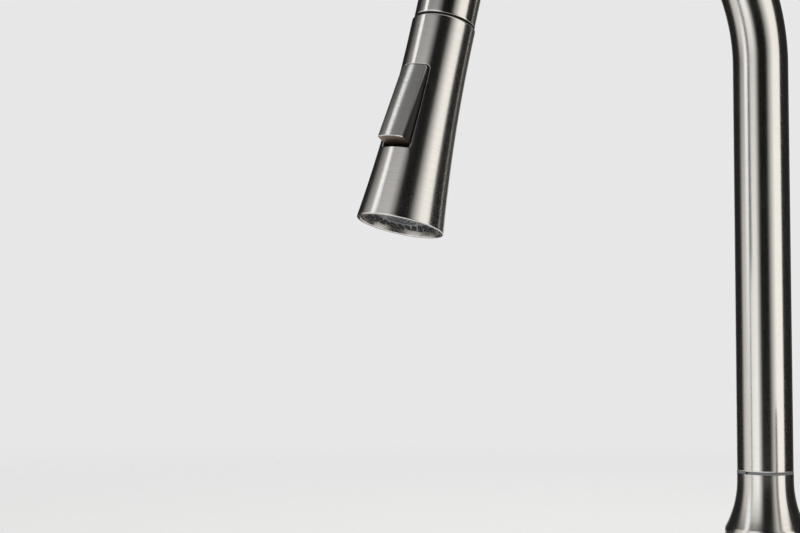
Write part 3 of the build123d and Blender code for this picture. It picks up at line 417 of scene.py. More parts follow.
@dataclass(frozen=True)
class BrushedNickel(Finish):
    """Brushed nickel plating whose lines run around or along an axis.

    Args:
        frame: The axis that the brush followed.
        brushing: Which way the lines run.
        roughness: Lowest and highest roughness over the lines.
        dark: Colour in the lines' shadow.
        light: Colour on the lines' crests.
        pull: How far the lines draw a highlight out.
        line_share: Share of the lines in the colour, beside their drift.
        strength: Strength of the lines' relief.
        branch: A second axis that the brush followed beyond a distance from the first.
        branch_from: That distance, in metres.
        painted_reflection_and_shade: Painted colours that stand in for light: a warm painted reflection on ends
            that look along the axis and a dark painted shade on sides that look round it.
        skirt_rough: Roughness that those faces add.
        end_limits: How far a face looks out from the axis where the ends' painted reflection starts and is full.
        side_limits: How far a face looks round the axis where the sides' painted shade starts and is full.
    """

    frame: AxisFrame
    brushing: Brushing = Brushing.AROUND
    roughness: Pair = (0.19, 0.23)
    dark: Triple = (0.59, 0.567, 0.537)
    light: Triple = (0.76, 0.737, 0.705)
    pull: float = 0.5
    line_share: float = 0.6
    strength: float = 0.25
    branch: AxisFrame | None = None
    branch_from: float = 0.0206
    painted_reflection_and_shade: tuple[Triple, Triple] | None = None
    skirt_rough: float = 0.15
    end_limits: Pair = (0.75, 0.55)
    side_limits: Pair = (0.35, 0.6)

    def shade(self, on: Surface) -> None:
        """Feeds brush lines to colour, roughness and normal, and sets the stretched highlight.

        Args:
            on: The new surface.
        """
        place = on.spot(self.frame)
        lines, drift = self.lines(on, place)
        tangent = on.around(self.frame)
        if self.branch is not None:
            far = on.measure("LENGTH", on.vector("MULTIPLY", place, (1.0, 1.0, 0.0)))
            beyond = on.math("GREATER_THAN", far, self.branch_from)
            other = self.lines(on, on.spot(self.branch))
            lines, drift = (on.mix("FLOAT", beyond, *both) for both in zip((lines, drift), other))
            tangent = on.mix("VECTOR", beyond, tangent, on.around(self.branch))
        colour = on.blend(on.weigh(lines, drift, self.line_share), self.dark, self.light)
        rough = on.smeared(place, on.spread(lines, self.roughness[::-1]))
        # Painted light: a warm painted reflection on the ends and a dark painted shade on the sides are mixed into
        # the base colour.
        if self.painted_reflection_and_shade is not None:
            for mask, painted_reflection_and_shade in zip(self.painted_light_masks(on), self.painted_reflection_and_shade):
                colour = on.mix("RGBA", mask, colour, (*painted_reflection_and_shade, 1.0))
                rough = on.math("ADD", rough, on.math("MULTIPLY", mask, self.skirt_rough))
        on.feed(on.shader, {
            "Base Color": colour,
            "Roughness": rough,
            "Metallic": 1.0,
            "Anisotropic": self.pull,
            "Anisotropic Rotation": QUARTER_TURN if self.brushing is Brushing.AROUND else 0.0,
            "Tangent": tangent,
            "Normal": on.relief(lines, BRUSH_DEPTH, self.strength),
        })

    def painted_light_masks(self, on: Surface) -> list[Socket]:
        """Finds the faces that do not look straight out from the axis.

        Args:
            on: The new surface.

        Returns:
            Masks of the ends that look along the axis, which take a warm painted reflection, and of the sides that
            look round it, which take a dark painted shade.
        """
        spot = on.node("ShaderNodeTexCoord").outputs
        reach = on.vector("SUBTRACT", spot["Object"], self.frame.origin)
        along = on.vector("PROJECT", reach, self.frame.axis)
        out = on.vector("NORMALIZE", on.vector("SUBTRACT", reach, along))
        across = on.vector("CROSS_PRODUCT", self.frame.axis, out)
        masks = []
        for direction, limits in ((out, self.end_limits), (across, self.side_limits)):
            facing = on.math("ABSOLUTE", on.measure("DOT_PRODUCT", spot["Normal"], direction))
            masks.append(on.spread(facing, limits=limits))
        return masks

    def lines(self, on: Surface, place: Socket) -> tuple[Socket, Socket]:
        """Lays the brush lines.

        Args:
            on: The new surface.
            place: A place whose z runs along the axis.

        Returns:
            The lines and their drift.
        """
        fine, slow = BRUSH_FINE, BRUSH_SLOW
        stretch = (slow, slow, fine) if self.brushing is Brushing.AROUND else (fine, fine, slow)
        return tuple(EFFECTS.put(on, Effect.BRUSH_LINES, place, stretch))


@dataclass(frozen=True)
class TubeNickel(Finish):
    """Satin nickel on the spout tube, brushed round a line that bends.

    Args:
        uv: Name of the UV map, in metres around and along.
        roughness: Lowest and highest roughness over the lines.
        dark: Colour in the lines' shadow.
        light: Colour on the lines' crests.
        pull: How far the lines draw a highlight out.
        line_share: Share of the lines in the colour, beside their drift.
        strength: Strength of the lines' relief.
    """

    uv: str
    roughness: Pair = (0.17, 0.195)
    dark: Triple = (0.64, 0.615, 0.583)
    light: Triple = (0.72, 0.696, 0.665)
    pull: float = 0.35
    line_share: float = 0.45
    strength: float = 0.15

    def shade(self, on: Surface) -> None:
        """Feeds brush lines laid by the UV map to colour, roughness and normal.

        Args:
            on: The new surface.
        """
        place = on.node("ShaderNodeUVMap", uv_map=self.uv).outputs[0]
        lines, drift = EFFECTS.put(on, Effect.BRUSH_LINES, place, (BRUSH_SLOW, BRUSH_FINE, 1.0))
        tangent = on.node("ShaderNodeTangent", direction_type="UV_MAP", uv_map=self.uv)
        on.feed(on.shader, {
            "Base Color": on.blend(on.weigh(lines, drift, self.line_share), self.dark, self.light),
            "Roughness": on.smeared(place, on.spread(lines, self.roughness[::-1])),
            "Metallic": 1.0,
            "Anisotropic": self.pull,
            "Anisotropic Rotation": QUARTER_TURN,
            "Tangent": tangent.outputs[0],
            "Normal": on.relief(lines, BRUSH_DEPTH, self.strength),
        })


@dataclass(frozen=True)
class TurnedMetal(Finish):
    """Machined brass or steel with turning marks round an axis.

    Args:
        frame: The axis that the piece was turned on.
        dark: Colour in the marks.
        light: Colour between them.
        roughness: Lowest and highest roughness.
        marks: Stretch of the marks, which are close along the axis.
        tarnish: Size of the tarnish, in spots per metre.
        depth: Depth of the marks in metres.
        strength: Strength of their relief.
    """

    frame: AxisFrame
    dark: Triple
    light: Triple
    roughness: Pair
    marks: Triple = (40.0, 40.0, 2600.0)
    tarnish: float = 60.0
    depth: float = 0.00003
    strength: float = 0.3

    def shade(self, on: Surface) -> None:
        """Feeds turning marks and tarnish to colour, roughness and normal.

        Args:
            on: The new surface.
        """
        place = on.spot(self.frame)
        lines, drift = EFFECTS.put(on, Effect.BRUSH_LINES, place, self.marks)
        smear = EFFECTS.put(on, Effect.HANDLING, place, self.tarnish)["Smear"]
        on.feed(on.shader, {
            "Base Color": on.blend(on.weigh(lines, drift), self.dark, self.light),
            "Roughness": on.spread(smear, self.roughness),
            "Metallic": 1.0,
            "Normal": on.relief(lines, self.depth, self.strength),
        })


@dataclass(frozen=True)
class Moulded(Finish):
    """Moulded plastic, rubber or pressed ceramic with a fine grain.

    Args:
        dark: Colour in the grain.
        light: Colour on the grain.
        roughness: Lowest and highest roughness.
        fineness: Grain cells per metre.
        depth: Depth of the grain in metres.
        gloss: Specular level of the shader.
        smears: Size of the smears, in spots per metre.
        strength: Strength of the grain's relief.
    """

    dark: Triple
    light: Triple
    roughness: Pair
    fineness: float = 2600.0
    depth: float = 0.00004
    gloss: float = 0.5
    smears: float = 70.0
    strength: float = 0.35

    def shade(self, on: Surface) -> None:
        """Feeds the grain to colour, roughness and normal.

        Args:
            on: The new surface.
        """
        place = on.spot()
        grain, drift = EFFECTS.put(on, Effect.GRAIN, place, self.fineness)
        smear = EFFECTS.put(on, Effect.HANDLING, place, self.smears)["Smear"]
        on.feed(on.shader, {
            "Base Color": on.blend(on.weigh(grain, drift), self.dark, self.light),
            "Roughness": on.spread(smear, self.roughness),
            "Specular IOR Level": self.gloss,
            "Normal": on.relief(grain, self.depth, self.strength),
        })


@dataclass(frozen=True)
class BraidedSleeve(Finish):
    """Braided nylon sleeve of the pull-out hose.

    Args:
        uv: Name of the UV map, in turns around and pitches along.
        strands: Strand pairs in a turn.
        dark: Colour between strands.
        light: Colour on the strands that lie on top.
        thread: Colour of the strands that cross below.
        roughness: Roughness between the strands and on them.
        depth: Depth between the strands in metres.
        strength: Strength of their relief.
    """

    uv: str
    strands: float = 12.0
    dark: Triple = (0.05, 0.05, 0.055)
    light: Triple = (0.30, 0.30, 0.315)
    thread: Triple = (0.19, 0.19, 0.20)
    roughness: Pair = (0.75, 0.42)
    depth: float = 0.0003
    strength: float = 0.6

    def shade(self, on: Surface) -> None:
        """Feeds the strands to colour, roughness and normal.

        Args:
            on: The new surface.
        """
        place = on.node("ShaderNodeUVMap", uv_map=self.uv).outputs[0]
        lay, side = EFFECTS.put(on, Effect.BRAID, place, self.strands)
        height = on.spread(lay, limits=(0.0, 0.5))
        top = on.blend(side, self.thread, self.light)
        on.feed(on.shader, {
            "Base Color": on.mix("RGBA", height, (*self.dark, 1.0), top),
            "Roughness": on.spread(height, self.roughness),
            "Normal": on.relief(height, self.depth, self.strength),
        })


BRASS = ((0.56, 0.38, 0.15), (0.80, 0.60, 0.29), (0.22, 0.40))
STEEL = ((0.44, 0.45, 0.46), (0.62, 0.63, 0.65), (0.26, 0.42))
NICKEL_UPRIGHT = BrushedNickel("brushed_nickel_upright", UPRIGHT)
NICKEL_BODY = BrushedNickel("brushed_nickel_body", UPRIGHT, branch=BOSS_AXIS)
NICKEL_BOSS = BrushedNickel("brushed_nickel_boss", BOSS_AXIS)
NICKEL_HEAD = BrushedNickel("brushed_nickel_head", HEAD_AXIS)
# The button's ends get a warm painted reflection and its side walls a dark painted shade.
NICKEL_BUTTON = BrushedNickel("brushed_nickel_button_painted_light", HEAD_AXIS,
                              dark=(0.46, 0.451, 0.434), light=(0.84, 0.827, 0.80),
                              painted_reflection_and_shade=((0.27, 0.21, 0.165), (0.07, 0.069, 0.067)))
NICKEL_LEVER = BrushedNickel("brushed_nickel_lever", UPRIGHT, Brushing.ALONG)
BRASS_UPRIGHT = TurnedMetal("machined_brass_upright", UPRIGHT, *BRASS)
BRASS_BOSS = TurnedMetal("machined_brass_boss", BOSS_AXIS, *BRASS)
BRASS_HEAD = TurnedMetal("machined_brass_head", HEAD_AXIS, *BRASS)
STEEL_UPRIGHT = TurnedMetal("plain_steel_upright", UPRIGHT, *STEEL)
STEEL_BOSS = TurnedMetal("plain_steel_boss", BOSS_AXIS, *STEEL)
STEEL_HEAD = TurnedMetal("plain_steel_head", HEAD_AXIS, *STEEL)
BLACK_PLASTIC = Moulded("black_moulded_plastic", (0.018, 0.018, 0.02), (0.045, 0.045, 0.048), (0.38, 0.55))
DOCK_PLASTIC = Moulded("matt_black_dock", (0.003, 0.003, 0.003), (0.009, 0.009, 0.009), (0.6, 0.75), gloss=0.12)
GREY_PLASTIC = Moulded("grey_moulded_plastic", (0.11, 0.112, 0.12), (0.17, 0.172, 0.18), (0.40, 0.55))
WHITE_PLASTIC = Moulded("white_moulded_plastic", (0.62, 0.62, 0.60), (0.78, 0.78, 0.76), (0.40, 0.55))
SPRAY_FACE = Moulded("spray_face_plastic", (0.09, 0.09, 0.095), (0.16, 0.16, 0.165), (0.32, 0.46))
BLACK_RUBBER = Moulded("black_rubber", (0.022, 0.022, 0.024), (0.05, 0.05, 0.052), (0.55, 0.75), 1800.0, 0.00006)
CERAMIC = Moulded("polished_ceramic", (0.80, 0.79, 0.76), (0.90, 0.89, 0.86), (0.10, 0.22), 3000.0, 0.00001)


class SubAssembly:
    """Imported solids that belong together, each with its finish."""

    finishes: dict[Finish, tuple[str, ...]] = {}

    def dress(self, nodes: dict[str, Object]) -> None:
        """Gives each solid the material of its finish.

        Args:
            nodes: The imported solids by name.
        """
        for finish, names in self.finishes.items():
            material = finish.made()
            for name in names:
                nodes[name].data.materials.clear()
                nodes[name].data.materials.append(material)
                LOG.info("%s in %s", name, finish.name)

    def build(self, nodes: dict[str, Object]) -> None:
        """Dresses the solids; a sub-assembly with pieces of its own builds them as well."""
        self.dress(nodes)


class Base(SubAssembly):
    """Deck flange, valve body with its cartridge, swivel neck and the shank below the deck."""

    finishes = {
        NICKEL_UPRIGHT: ("base_flange", "flared_neck"),
        NICKEL_BODY: ("valve_body",),
        NICKEL_BOSS: ("dome_cover",),
        BRASS_UPRIGHT: ("swivel_post", "threaded_shank", "hose_coupling"),
        BRASS_BOSS: ("cartridge_nut",),
        STEEL_UPRIGHT: ("retaining_clip",),
        GREY_PLASTIC: ("swivel_ring",),
        WHITE_PLASTIC: ("cartridge_housing",),
        BLACK_RUBBER: ("deck_gasket", "swivel_o_rings", "cartridge_seals"),
        CERAMIC: ("fixed_disc",),
    }


class Clamp(SubAssembly):
    """Washers, nut and screws that hold the base to the deck from below."""

    finishes = {
        BLACK_RUBBER: ("rubber_washer",),
        STEEL_UPRIGHT: ("steel_washer", "jack_screws"),
        BRASS_UPRIGHT: ("mounting_nut",),
    }


class Handle(SubAssembly):
    """Side lever with its hub, stem and the discs that it moves."""

    finishes = {
        NICKEL_BOSS: ("handle_hub",),
        NICKEL_LEVER: ("handle_lever",),
        BRASS_BOSS: ("cartridge_stem",),
        STEEL_UPRIGHT: ("hub_screw",),
        STEEL_BOSS: ("stem_pin",),
        GREY_PLASTIC: ("cartridge_guide", "disc_carrier", "hub_plug"),
        CERAMIC: ("moving_disc",),
    }


class SprayHead(SubAssembly):
    """Pull-down head: shell, rocker button, valve parts, spray face and the hose's end."""

    finishes = {
        NICKEL_HEAD: ("head_shell",),
        NICKEL_BUTTON: ("rocker_button",),
        BRASS_HEAD: ("hose_ferrule",),
        STEEL_HEAD: ("rocker_pin", "aerator_screen"),
        DOCK_PLASTIC: ("docking_nut",),
        BLACK_PLASTIC: ("head_core", "spray_chamber"),
        GREY_PLASTIC: ("check_valve", "aerator_housing", "diverter_spool"),
        SPRAY_FACE: ("spray_plate",),
        BLACK_RUBBER: ("inlet_o_ring", "spool_o_rings", "spray_nozzles"),
    }


def even(low: float, high: float, steps: int) -> list[float]:
    """Returns the ends of equal steps from one value to another."""
    return [low + (high - low) * i / steps for i in range(steps + 1)]


def linked_mesh(name: str, points: list[Triple], faces: list[tuple[int, ...]]) -> Object:
    """Makes a mesh object.

    Args:
        name: The object's name.
        points: Places of its corners.
        faces: Numbers of each face's corners.

    Returns:
        The new object, linked to the scene.
    """
    mesh = bpy.data.meshes.new(name)
    mesh.from_pydata(points, [], faces)
    made = bpy.data.objects.new(name, mesh)
    bpy.context.scene.collection.objects.link(made)
    return made


def row_mesh(name: str, rows: list[list[Vector | Triple]], lengths: Sequence[float], width: float,
             uv_name: str, closed: bool = False, ring: bool = True) -> Object:
    """Makes a smooth mesh from rows of points.

    Args:
        name: The object's name.
        rows: Rows of equally many points.
        lengths: For each row, its UV place along the mesh.
        width: UV length of a row.
        uv_name: Name of the UV map.
        closed: Whether the last row joins the first.
        ring: Whether each row's last point joins its first.

    Returns:
        The new object, linked to the scene.
    """
    count = len(rows[0])
    sides = count if ring else count - 1
    points = [tuple(p) for one in rows for p in one]
    pairs = [*pairwise(range(len(rows)))] + ([(len(rows) - 1, 0)] if closed else [])
    faces, corners = [], []
    for low, high in pairs:
        for k in range(sides):
            nxt = (k + 1) % count
            faces.append((low * count + k, low * count + nxt, high * count + nxt, high * count + k))
            left, right = width * k / sides, width * (k + 1) / sides
            corners += [(left, lengths[low]), (right, lengths[low])]
            corners += [(right, lengths[high]), (left, lengths[high])]
    made = linked_mesh(name, points, faces)
    layer = made.data.uv_layers.new(name=uv_name)
    for loop, corner in zip(layer.data, corners):
        loop.uv = corner
    made.data.polygons.foreach_set("use_smooth", [True] * len(faces))
    made.data.update()
    return made


@dataclass
class SpoutLine:
    """Middle line of the spout: riser, bend and straight end, in metres.

    Args:
        riser_top: Height where the bend starts.
        bend_radius: Radius of the bend.
        bend_turn: Angle of the bend.
    """

    riser_top: float = 0.310
    bend_radius: float = 0.093
    bend_turn: float = BEND_TURN

    def station(self, distance: float) -> tuple[Vector, Vector, Vector]:
        """Finds a place on the line.

        Args:
            distance: Metres along the line from the deck's level.

        Returns:
            The point, the direction along the line and the outward direction of the bend.
        """
        turn = min(max((distance - self.riser_top) / self.bend_radius, 0.0), self.bend_turn)
        along = Vector((0.0, -math.sin(turn), math.cos(turn)))
        outward = Vector((0.0, math.cos(turn), math.sin(turn)))
        centre = Vector((0.0, -self.bend_radius, self.riser_top))
        point = centre + outward * self.bend_radius
        extra = min(distance - self.riser_top, 0.0) + max(distance - self.end, 0.0)
        return point + along * extra, along, outward

    @property
    def end(self) -> float:
        """Length of the line up to the end of the bend."""
        return self.riser_top + self.bend_radius * self.bend_turn


@dataclass
class Spout(SubAssembly):
    """Swivel sleeve, dock and the bent tube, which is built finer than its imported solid.

    Args:
        line: Middle line of the spout.
        radius: Outer radius.
        bore: Inner radius.
        start: Height of the foot.
        end_straight: Straight stretch after the bend, up to the dock's lip.
        edge: Round on the tube's ends.
        edge_middle: Share of the edge where the round is halfway.
        edge_hold: Shares of the edge to the ring that keeps the round short.
        segments: Sides of the tube.
        riser_steps: Stretches of the riser.
        bend_steps: Stretches of the bend.
        uv: Name of the UV map.
    """

    line: SpoutLine
    radius: float = 0.0140
    bore: float = 0.0128
    start: float = 0.1007
    end_straight: float = 0.0220
    edge: float = 0.0003
    edge_middle: float = 0.3
    edge_hold: float = 3.0
    segments: int = 160
    riser_steps: int = 12
    bend_steps: int = 110
    uv: str = "spout_uv"
    finishes = {BRASS_UPRIGHT: ("swivel_sleeve",), DOCK_PLASTIC: ("dock_sleeve",)}

    def build(self, nodes: dict[str, Object]) -> None:
        """Dresses the sleeve and the dock, and builds the tube."""
        self.dress(nodes)
        self.tube()

    def tube(self) -> None:
        """Builds the tube, lets it ride on the spout and dresses it."""
        start, stop = self.start, self.line.end + self.end_straight
        bend_start, bend_end = self.line.riser_top, self.line.end
        run = even(start, bend_start, self.riser_steps)[1:-1] + even(bend_start, bend_end, self.bend_steps)
        middle, hold = self.edge_middle * self.edge, self.edge_hold * self.edge
        rounded = ((0.0, self.edge), (middle, middle), (self.edge, 0.0), (hold, 0.0))
        outer = [(start + off, self.radius - cut) for off, cut in rounded]
        outer += [(distance, self.radius) for distance in run]
        outer += [(stop - off, self.radius - cut) for off, cut in reversed(rounded)]
        inner = [(distance, self.bore) for distance in (start, start + hold, *run, stop - hold, stop)]
        inner.reverse()
        rings = [self.ring(distance, radius) for distance, radius in outer + inner]
        lengths = [distance for distance, _ in outer] + [2 * stop - distance for distance, _ in inner]
        made = row_mesh("spout_tube_fine", rings, lengths, math.tau * self.radius, self.uv, closed=True)
        made.data.materials.append(TubeNickel("satin_nickel_spout", self.uv).made())
        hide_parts("spout_tube")
        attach(made, "spout")
        LOG.info("built %s", made.name)

    def ring(self, distance: float, radius: float) -> list[Vector]:
        """Lays one ring of the tube.

        Args:
            distance: Metres along the line.
            radius: Radius of the ring.

        Returns:
            The ring's points.
        """
        point, along, outward = self.line.station(distance)
        side = outward.cross(along)
        turns = even(0.0, math.tau, self.segments)[:-1]
        return [point + (outward * math.cos(t) + side * math.sin(t)) * radius for t in turns]


@dataclass
class PullHose(SubAssembly):
    """The braided hose: upper run in the spout, tail behind the head and lower run in the base.

    Args:
        line: Middle line of the spout.
        radius: Outer radius of the braid.
        relief: How far the strands stand out.
        strands: Strand pairs in a turn.
        pitch: Length of one turn of a strand.
        segments: Sides of the hose.
        pull: How far the head pulls out.
        uv: Name of the UV map.
        upper: First and last distance of the upper run along the spout's line.
        upper_steps: Stretches of the upper run.
        lower: First and last height of the lower run.
        lower_step: Longest stretch of the lower run.
        tail: First and last distance of the tail from the seam.
        tail_stretch: Where on the tail the stretch that carries the braid of the pull starts and ends.
        tail_steps: Stretches of it.
    """

    line: SpoutLine
    radius: float = 0.0060
    relief: float = 0.00022
    strands: int = 12
    pitch: float = 0.034
    segments: int = 96
    pull: float = 0.250
    uv: str = "braid_uv"
    upper: Pair = (0.1010, 0.5807)
    upper_steps: int = 240
    lower: Pair = (-0.0690, 0.1004)
    lower_step: float = 0.0008
    tail: Pair = (-0.0224, -0.0115)
    tail_stretch: Pair = (0.0002, 0.0022)
    tail_steps: int = 330

    def strand_height(self, turn: float, along: float) -> float:
        """Finds how high the strands lie at a place on the hose.

        Args:
            turn: Turns around the hose.
            along: Metres along it.

        Returns:
            The share of the relief.
        """
        lay = along / self.pitch
        saw = [(turn + lay) * self.strands, (turn - lay) * self.strands]
        return max(1.0 - 2.0 * abs(one - math.floor(one) - 0.5) for one in saw)

    def tube(self, name: str, stations: list[tuple[Vector, Vector, Vector, float]]) -> Object:
        """Builds a closed stretch of hose.

        Args:
            name: The object's name.
            stations: For each ring its point, direction, outward direction and length along the braid.

        Returns:
            The object with its braid.
        """
        rings, lengths = [], []
        for point, along, outward, length in stations:
            side = outward.cross(along)
            ring = []
            for k in range(self.segments):
                share = k / self.segments
                reach = self.radius - self.relief * (1.0 - self.strand_height(share, length))
                angle = math.tau * share
                ring.append(point + (outward * math.cos(angle) + side * math.sin(angle)) * reach)
            rings.append(ring)
            lengths.append(length / self.pitch)
        for at, index in ((0, 0), (len(stations) + 1, -1)):
            rings.insert(at, [stations[index][0]] * self.segments)
            lengths.insert(at, lengths[index])
        made = row_mesh(name, rings, lengths, 1.0, self.uv)
        made.data.materials.append(BraidedSleeve("braided_hose", self.uv, float(self.strands)).made())
        LOG.info("built %s", name)
        return made

    def build(self, nodes: dict[str, Object]) -> None:
        """Builds the lower run, the upper run and the tail."""
        self.lower_run()
        self.upper_run()
        self.tail_run()

    def lower_run(self) -> None:
        """Builds the stretch through the base and the shank."""
        low, high = self.lower
        upright = Vector((0.0, 0.0, 1.0)), Vector((0.0, 1.0, 0.0))
        heights = even(low, high, int((high - low) / self.lower_step))
        lower = self.tube("hose_lower_braid", [(Vector((0.0, 0.0, z)), *upright, z) for z in heights])
        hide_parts("hose_lower")
        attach(lower, "base")

    def upper_run(self) -> None:
        """Builds the stretch inside the spout."""
        places = even(*self.upper, self.upper_steps)
        upper = self.tube("hose_upper_braid", [(*self.line.station(s), s) for s in places])
        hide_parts("hose_upper")
        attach(upper, "spout")

    def tail_run(self) -> None:
        """Builds the stretch behind the head, whose short middle stretch carries the braid of the whole pull."""
        seam, along = Vector(SEAM), Vector(END_DIRECTION)
        outward = Vector((0.0, math.cos(BEND_TURN), math.sin(BEND_TURN)))
        low, high = self.tail
        start, end = (low + off for off in self.tail_stretch)
        rings: list[Pair] = [(low, 0.0)]
        for share in even(*UNIT, self.tail_steps):
            rise = share * share * (3.0 - 2.0 * share)
            at = start + (end - start) * share
            rings.append((at, at - low + rise * self.pull))
        rings.append((high, high - low + self.pull))
        stations = [(seam + along * at, along, outward, length) for at, length in rings]
        made = self.tube("hose_tail_braid", stations)
        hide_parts("hose_tail")
        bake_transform(made)


@dataclass
class PhotoCamera:
    """Camera where the photograph was taken from, fitted to the riser, the bend and the head.

    Args:
        place: Where it stands, in metres.
        right: Direction to the right of the picture.
        up: Direction to its top.
        forward: Direction that it looks in.
        lens: Focal length in millimetres.
        sensor: Width of the sensor in millimetres.
        clip: Nearest and farthest distance that it sees.
    """

    place: Triple = (0.51836, -0.48139, 0.16637)
    right: Triple = (0.46268, 0.88652, 0.00322)
    up: Triple = (0.04802, -0.02869, 0.99844)
    forward: Triple = (-0.88523, 0.46180, 0.05585)
    lens: float = 59.617
    sensor: float = 36.0
    clip: Pair = (0.01, 50.0)

    def build(self) -> None:
        """Builds the camera and makes it the scene's own."""
        data = bpy.data.cameras.new("photo_camera")
        data.lens, data.sensor_width = self.lens, self.sensor
        data.clip_start, data.clip_end = self.clip
        camera = bpy.data.objects.new("photo_camera", data)
        turned = Matrix((self.right, self.up, tuple(-f for f in self.forward))).transposed().to_4x4()
        camera.matrix_world = Matrix.Translation(self.place) @ turned
        bpy.context.scene.collection.objects.link(camera)
        bpy.context.scene.camera = camera


@dataclass(frozen=True)
class StudioPanel:
    """An upright curved panel round the faucet that only shows in reflections.

    Args:
        name: The panel's name.
        span: First and last bearing from the studio's middle, in degrees from +X towards +Y.
        light: Radiance at the studio's graded heights.
        tint: Colour of the light.
        fade: Radiance shares at the first and last bearing.
        lean: How far the panel's top is turned at the first and last bearing, in degrees.
    """

    name: str
    span: Pair
    light: Levels
    tint: Triple = (1.0, 1.0, 1.0)
    fade: Pair = (1.0, 1.0)
    lean: Pair = (0.0, 0.0)


WARM, SOFT, CREAM, COOL = (1.0, 0.965, 0.925), (1.0, 0.995, 1.0), (1.0, 0.985, 0.95), (1.0, 1.02, 1.045)
LEAN, LESS_LEAN, HALF_LEAN = -8.0, -6.0, -4.0
PANELS = (
    StudioPanel("flag_left", (-190.0, -148.0), (0.02,) * 4, lean=(0.0, HALF_LEAN)),
    StudioPanel("box_left_edge", (-148.0, -130.0), (0.84, 0.84, 0.22, 0.05), WARM, (0.03, 1.0), (HALF_LEAN, LEAN)),
    StudioPanel("box_left_warm", (-130.0, -115.0), (0.95, 0.9, 0.42, 0.10), WARM, (0.75, 1.0), (LEAN, LESS_LEAN)),
    StudioPanel("box_left_white", (-115.0, -99.0), (0.85, 1.12, 1.4, 1.3), COOL, (1.0, 1.0), (LESS_LEAN, LEAN)),
    StudioPanel("flag_left_line", (-99.0, -95.0), (0.15, 0.1, 0.38, 0.12), lean=(LEAN, LEAN)),
    StudioPanel("box_left_soft", (-95.0, -66.0), (1.3, 1.16, 0.76, 0.19), SOFT, (0.85, 1.0), (LEAN, LEAN)),
    StudioPanel("box_left_fall", (-66.0, -46.0), (1.3, 1.16, 0.76, 0.19), SOFT, (1.0, 0.01), (LEAN, 0.0)),
    StudioPanel("flag_front", (-46.0, -12.0), (0.006,) * 4),
    StudioPanel("box_right_ramp", (-12.0, 18.0), (1.28, 1.28, 1.18, 1.18), CREAM, (0.01, 1.0)),
    StudioPanel("box_right_cream", (18.0, 47.5), (1.3, 1.3, 1.2, 1.2), CREAM),
    StudioPanel("flag_right", (47.5, 98.0), (0.02,) * 4),
    StudioPanel("wall_back_right", (98.0, 132.0), (0.07,) * 4, WARM),
    StudioPanel("box_back", (132.0, 154.0), (0.8,) * 4),
    StudioPanel("wall_back_left", (154.0, 170.0), (0.05,) * 4),
)


@dataclass(frozen=True)
class StudioLamp:
    """A soft square lamp.

    Args:
        name: The lamp's name.
        place: Where it hangs, in metres.
        size: Its width in metres.
        power: Its power in watts.
    """

    name: str
    place: Triple
    size: float
    power: float


LAMPS = (
    StudioLamp("key_lamp", (0.9, -1.6, 2.0), 1.6, 22.0),
    StudioLamp("rim_lamp", (-1.4, 1.2, 1.8), 1.4, 10.0),
)


@dataclass(frozen=True)
class FloorPaper(Finish):
    """Pale paper floor that fades into the surround far from the faucet.

    Args:
        dark: Darker flecks of the paper.
        light: Its plain colour.
        roughness: Lowest and highest roughness.
        fineness: Flecks per metre.
        fade: Distances from the faucet where the fade starts and ends, in metres.
    """

    dark: Triple = (0.765, 0.765, 0.757)
    light: Triple = (0.785, 0.785, 0.778)
    roughness: Pair = (0.8, 0.9)
    fineness: float = 420.0
    fade: Pair = (0.9, 3.2)

    def shade(self, on: Surface) -> None:
        """Feeds faint flecks to the colour, and the fade to the alpha, which is clear from below.

        Args:
            on: The new surface.
        """
        place = on.spot()
        grain, drift = EFFECTS.put(on, Effect.GRAIN, place, self.fineness)
        far = on.measure("LENGTH", place)
        near = on.spread(far, UNIT[::-1], self.fade, interpolation_type="SMOOTHSTEP")
        back = on.node("ShaderNodeNewGeometry").outputs["Backfacing"]
        on.feed(on.shader, {
            "Base Color": on.blend(drift, self.dark, self.light),
            "Roughness": on.spread(grain, self.roughness),
            "Alpha": on.math("MULTIPLY", near, on.math("SUBTRACT", 1.0, back)),
        })


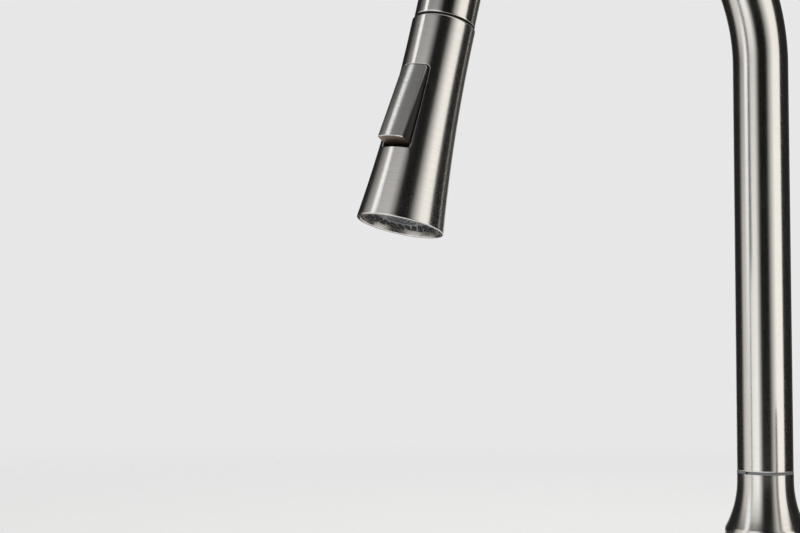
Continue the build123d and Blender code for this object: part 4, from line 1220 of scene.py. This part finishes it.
@dataclass
class Studio:
    """Pale floor, pale surround, soft lamps and the panels that the metal reflects.

    Args:
        floor_level: Height of the floor.
        floor_radius: Radius of the floor.
        floor_sides: Sides of its rim.
        centre: Middle of the ring of panels.
        panel_radius: Radius of the ring.
        panel_lift: Gap under the panels.
        panel_top: Height of their top.
        panel_steps: Flat stretches of a panel.
        graded: Heights that the panels' light is given at.
        surround: Colour of the surround.
        aim: Where the lamps point.
        uv: Name of the panels' UV map.
    """

    floor_level: float = -0.1140
    floor_radius: float = 4.0
    floor_sides: int = 128
    centre: Triple = (0.0, -0.09, 0.0)
    panel_radius: float = 0.69
    panel_lift: float = 0.002
    panel_top: float = 2.2
    panel_steps: int = 24
    graded: Levels = (0.08, 0.25, 0.62, 0.75)
    surround: Triple = (0.80, 0.80, 0.80)
    aim: Triple = (0.0, -0.09, 0.15)
    uv: str = "panel_uv"

    def build(self) -> None:
        """Builds the whole studio."""
        bpy.context.scene.view_settings.view_transform = "Standard"
        self.world()
        self.floor()
        for panel in PANELS:
            self.panel(panel)
        for lamp in LAMPS:
            self.lamp(lamp)

    def world(self) -> None:
        """Makes the even pale surround."""
        world = bpy.data.worlds.new("pale_surround")
        world.use_nodes = True
        background = world.node_tree.nodes["Background"]
        Graph(world.node_tree).feed(background.inputs, {"Color": (*self.surround, 1.0), "Strength": 1.0})
        bpy.context.scene.world = world

    def floor(self) -> None:
        """Makes the round pale floor."""
        radius, level, sides = self.floor_radius, self.floor_level, self.floor_sides
        rim = even(0.0, math.tau, sides)[:-1]
        points = [(radius * math.cos(t), radius * math.sin(t), level) for t in rim]
        floor = linked_mesh("studio_floor", points, [tuple(range(sides))])
        floor.data.materials.append(FloorPaper("floor_paper").made())

    def panel(self, panel: StudioPanel) -> None:
        """Makes one curved panel with its own soft light.

        Args:
            panel: Where it stands and how it shines.
        """
        (x, y, _), radius = self.centre, self.panel_radius
        rows, levels = [], (self.floor_level + self.panel_lift, *self.graded, self.panel_top)
        for level in levels:
            leans = level > self.graded[2]
            ends = (angle + leans * lean for angle, lean in zip(panel.span, panel.lean))
            turns = map(math.radians, even(*ends, self.panel_steps))
            rows.append([(x + radius * math.cos(t), y + radius * math.sin(t), level) for t in turns])
        made = row_mesh(panel.name, rows, levels, 1.0, self.uv, ring=False)
        made.data.materials.append(self.glow(panel))
        made.visible_camera = made.visible_diffuse = made.visible_shadow = False
        made.visible_transmission = made.visible_volume_scatter = False

    def glow(self, panel: StudioPanel) -> bpy.types.Material:
        """Makes the light of a panel, graded upward and across.

        Args:
            panel: How it shines.

        Returns:
            Its emitting material.
        """
        material = bpy.data.materials.new(panel.name)
        material.use_nodes = True
        material.node_tree.nodes.clear()
        graph = Graph(material.node_tree)
        uv = graph.node("ShaderNodeSeparateXYZ", {0: graph.node("ShaderNodeUVMap", uv_map=self.uv).outputs[0]})
        spot = graph.node("ShaderNodeSeparateXYZ", {0: graph.node("ShaderNodeTexCoord").outputs["Object"]})
        rises, base = [], panel.light[0]
        for heights, lights in zip(pairwise(self.graded), pairwise(panel.light)):
            rises.append(graph.spread(spot.outputs["Z"], (base, base + lights[1] - lights[0]), heights))
            base = 0.0
        rise = reduce(partial(graph.math, "ADD"), rises)
        strength = graph.math("MULTIPLY", rise, graph.spread(uv.outputs["X"], panel.fade))
        light = graph.node("ShaderNodeEmission", {"Strength": strength, "Color": (*panel.tint, 1.0)})
        graph.node("ShaderNodeOutputMaterial", {"Surface": light.outputs[0]})
        return material

    def lamp(self, lamp: StudioLamp) -> None:
        """Makes one soft lamp that faces the faucet.

        Args:
            lamp: Where it hangs and how it shines.
        """
        data = bpy.data.lights.new(lamp.name, "AREA")
        data.size, data.energy = lamp.size, lamp.power
        made = bpy.data.objects.new(lamp.name, data)
        made.location = lamp.place
        made.rotation_euler = (Vector(self.aim) - Vector(lamp.place)).to_track_quat("-Z", "Y").to_euler()
        made.visible_glossy = False
        bpy.context.scene.collection.objects.link(made)


def main() -> None:
    """Builds the dressed faucet, the studio and the camera."""
    logging.basicConfig(level=logging.INFO, format="%(message)s")
    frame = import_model()
    PhotoCamera().build()
    line = SpoutLine()
    for part in (Base(), Clamp(), Handle(), Spout(line), SprayHead(), PullHose(line)):
        part.build(frame["nodes"])
    Studio().build()


if __name__ == "__main__":
    main()
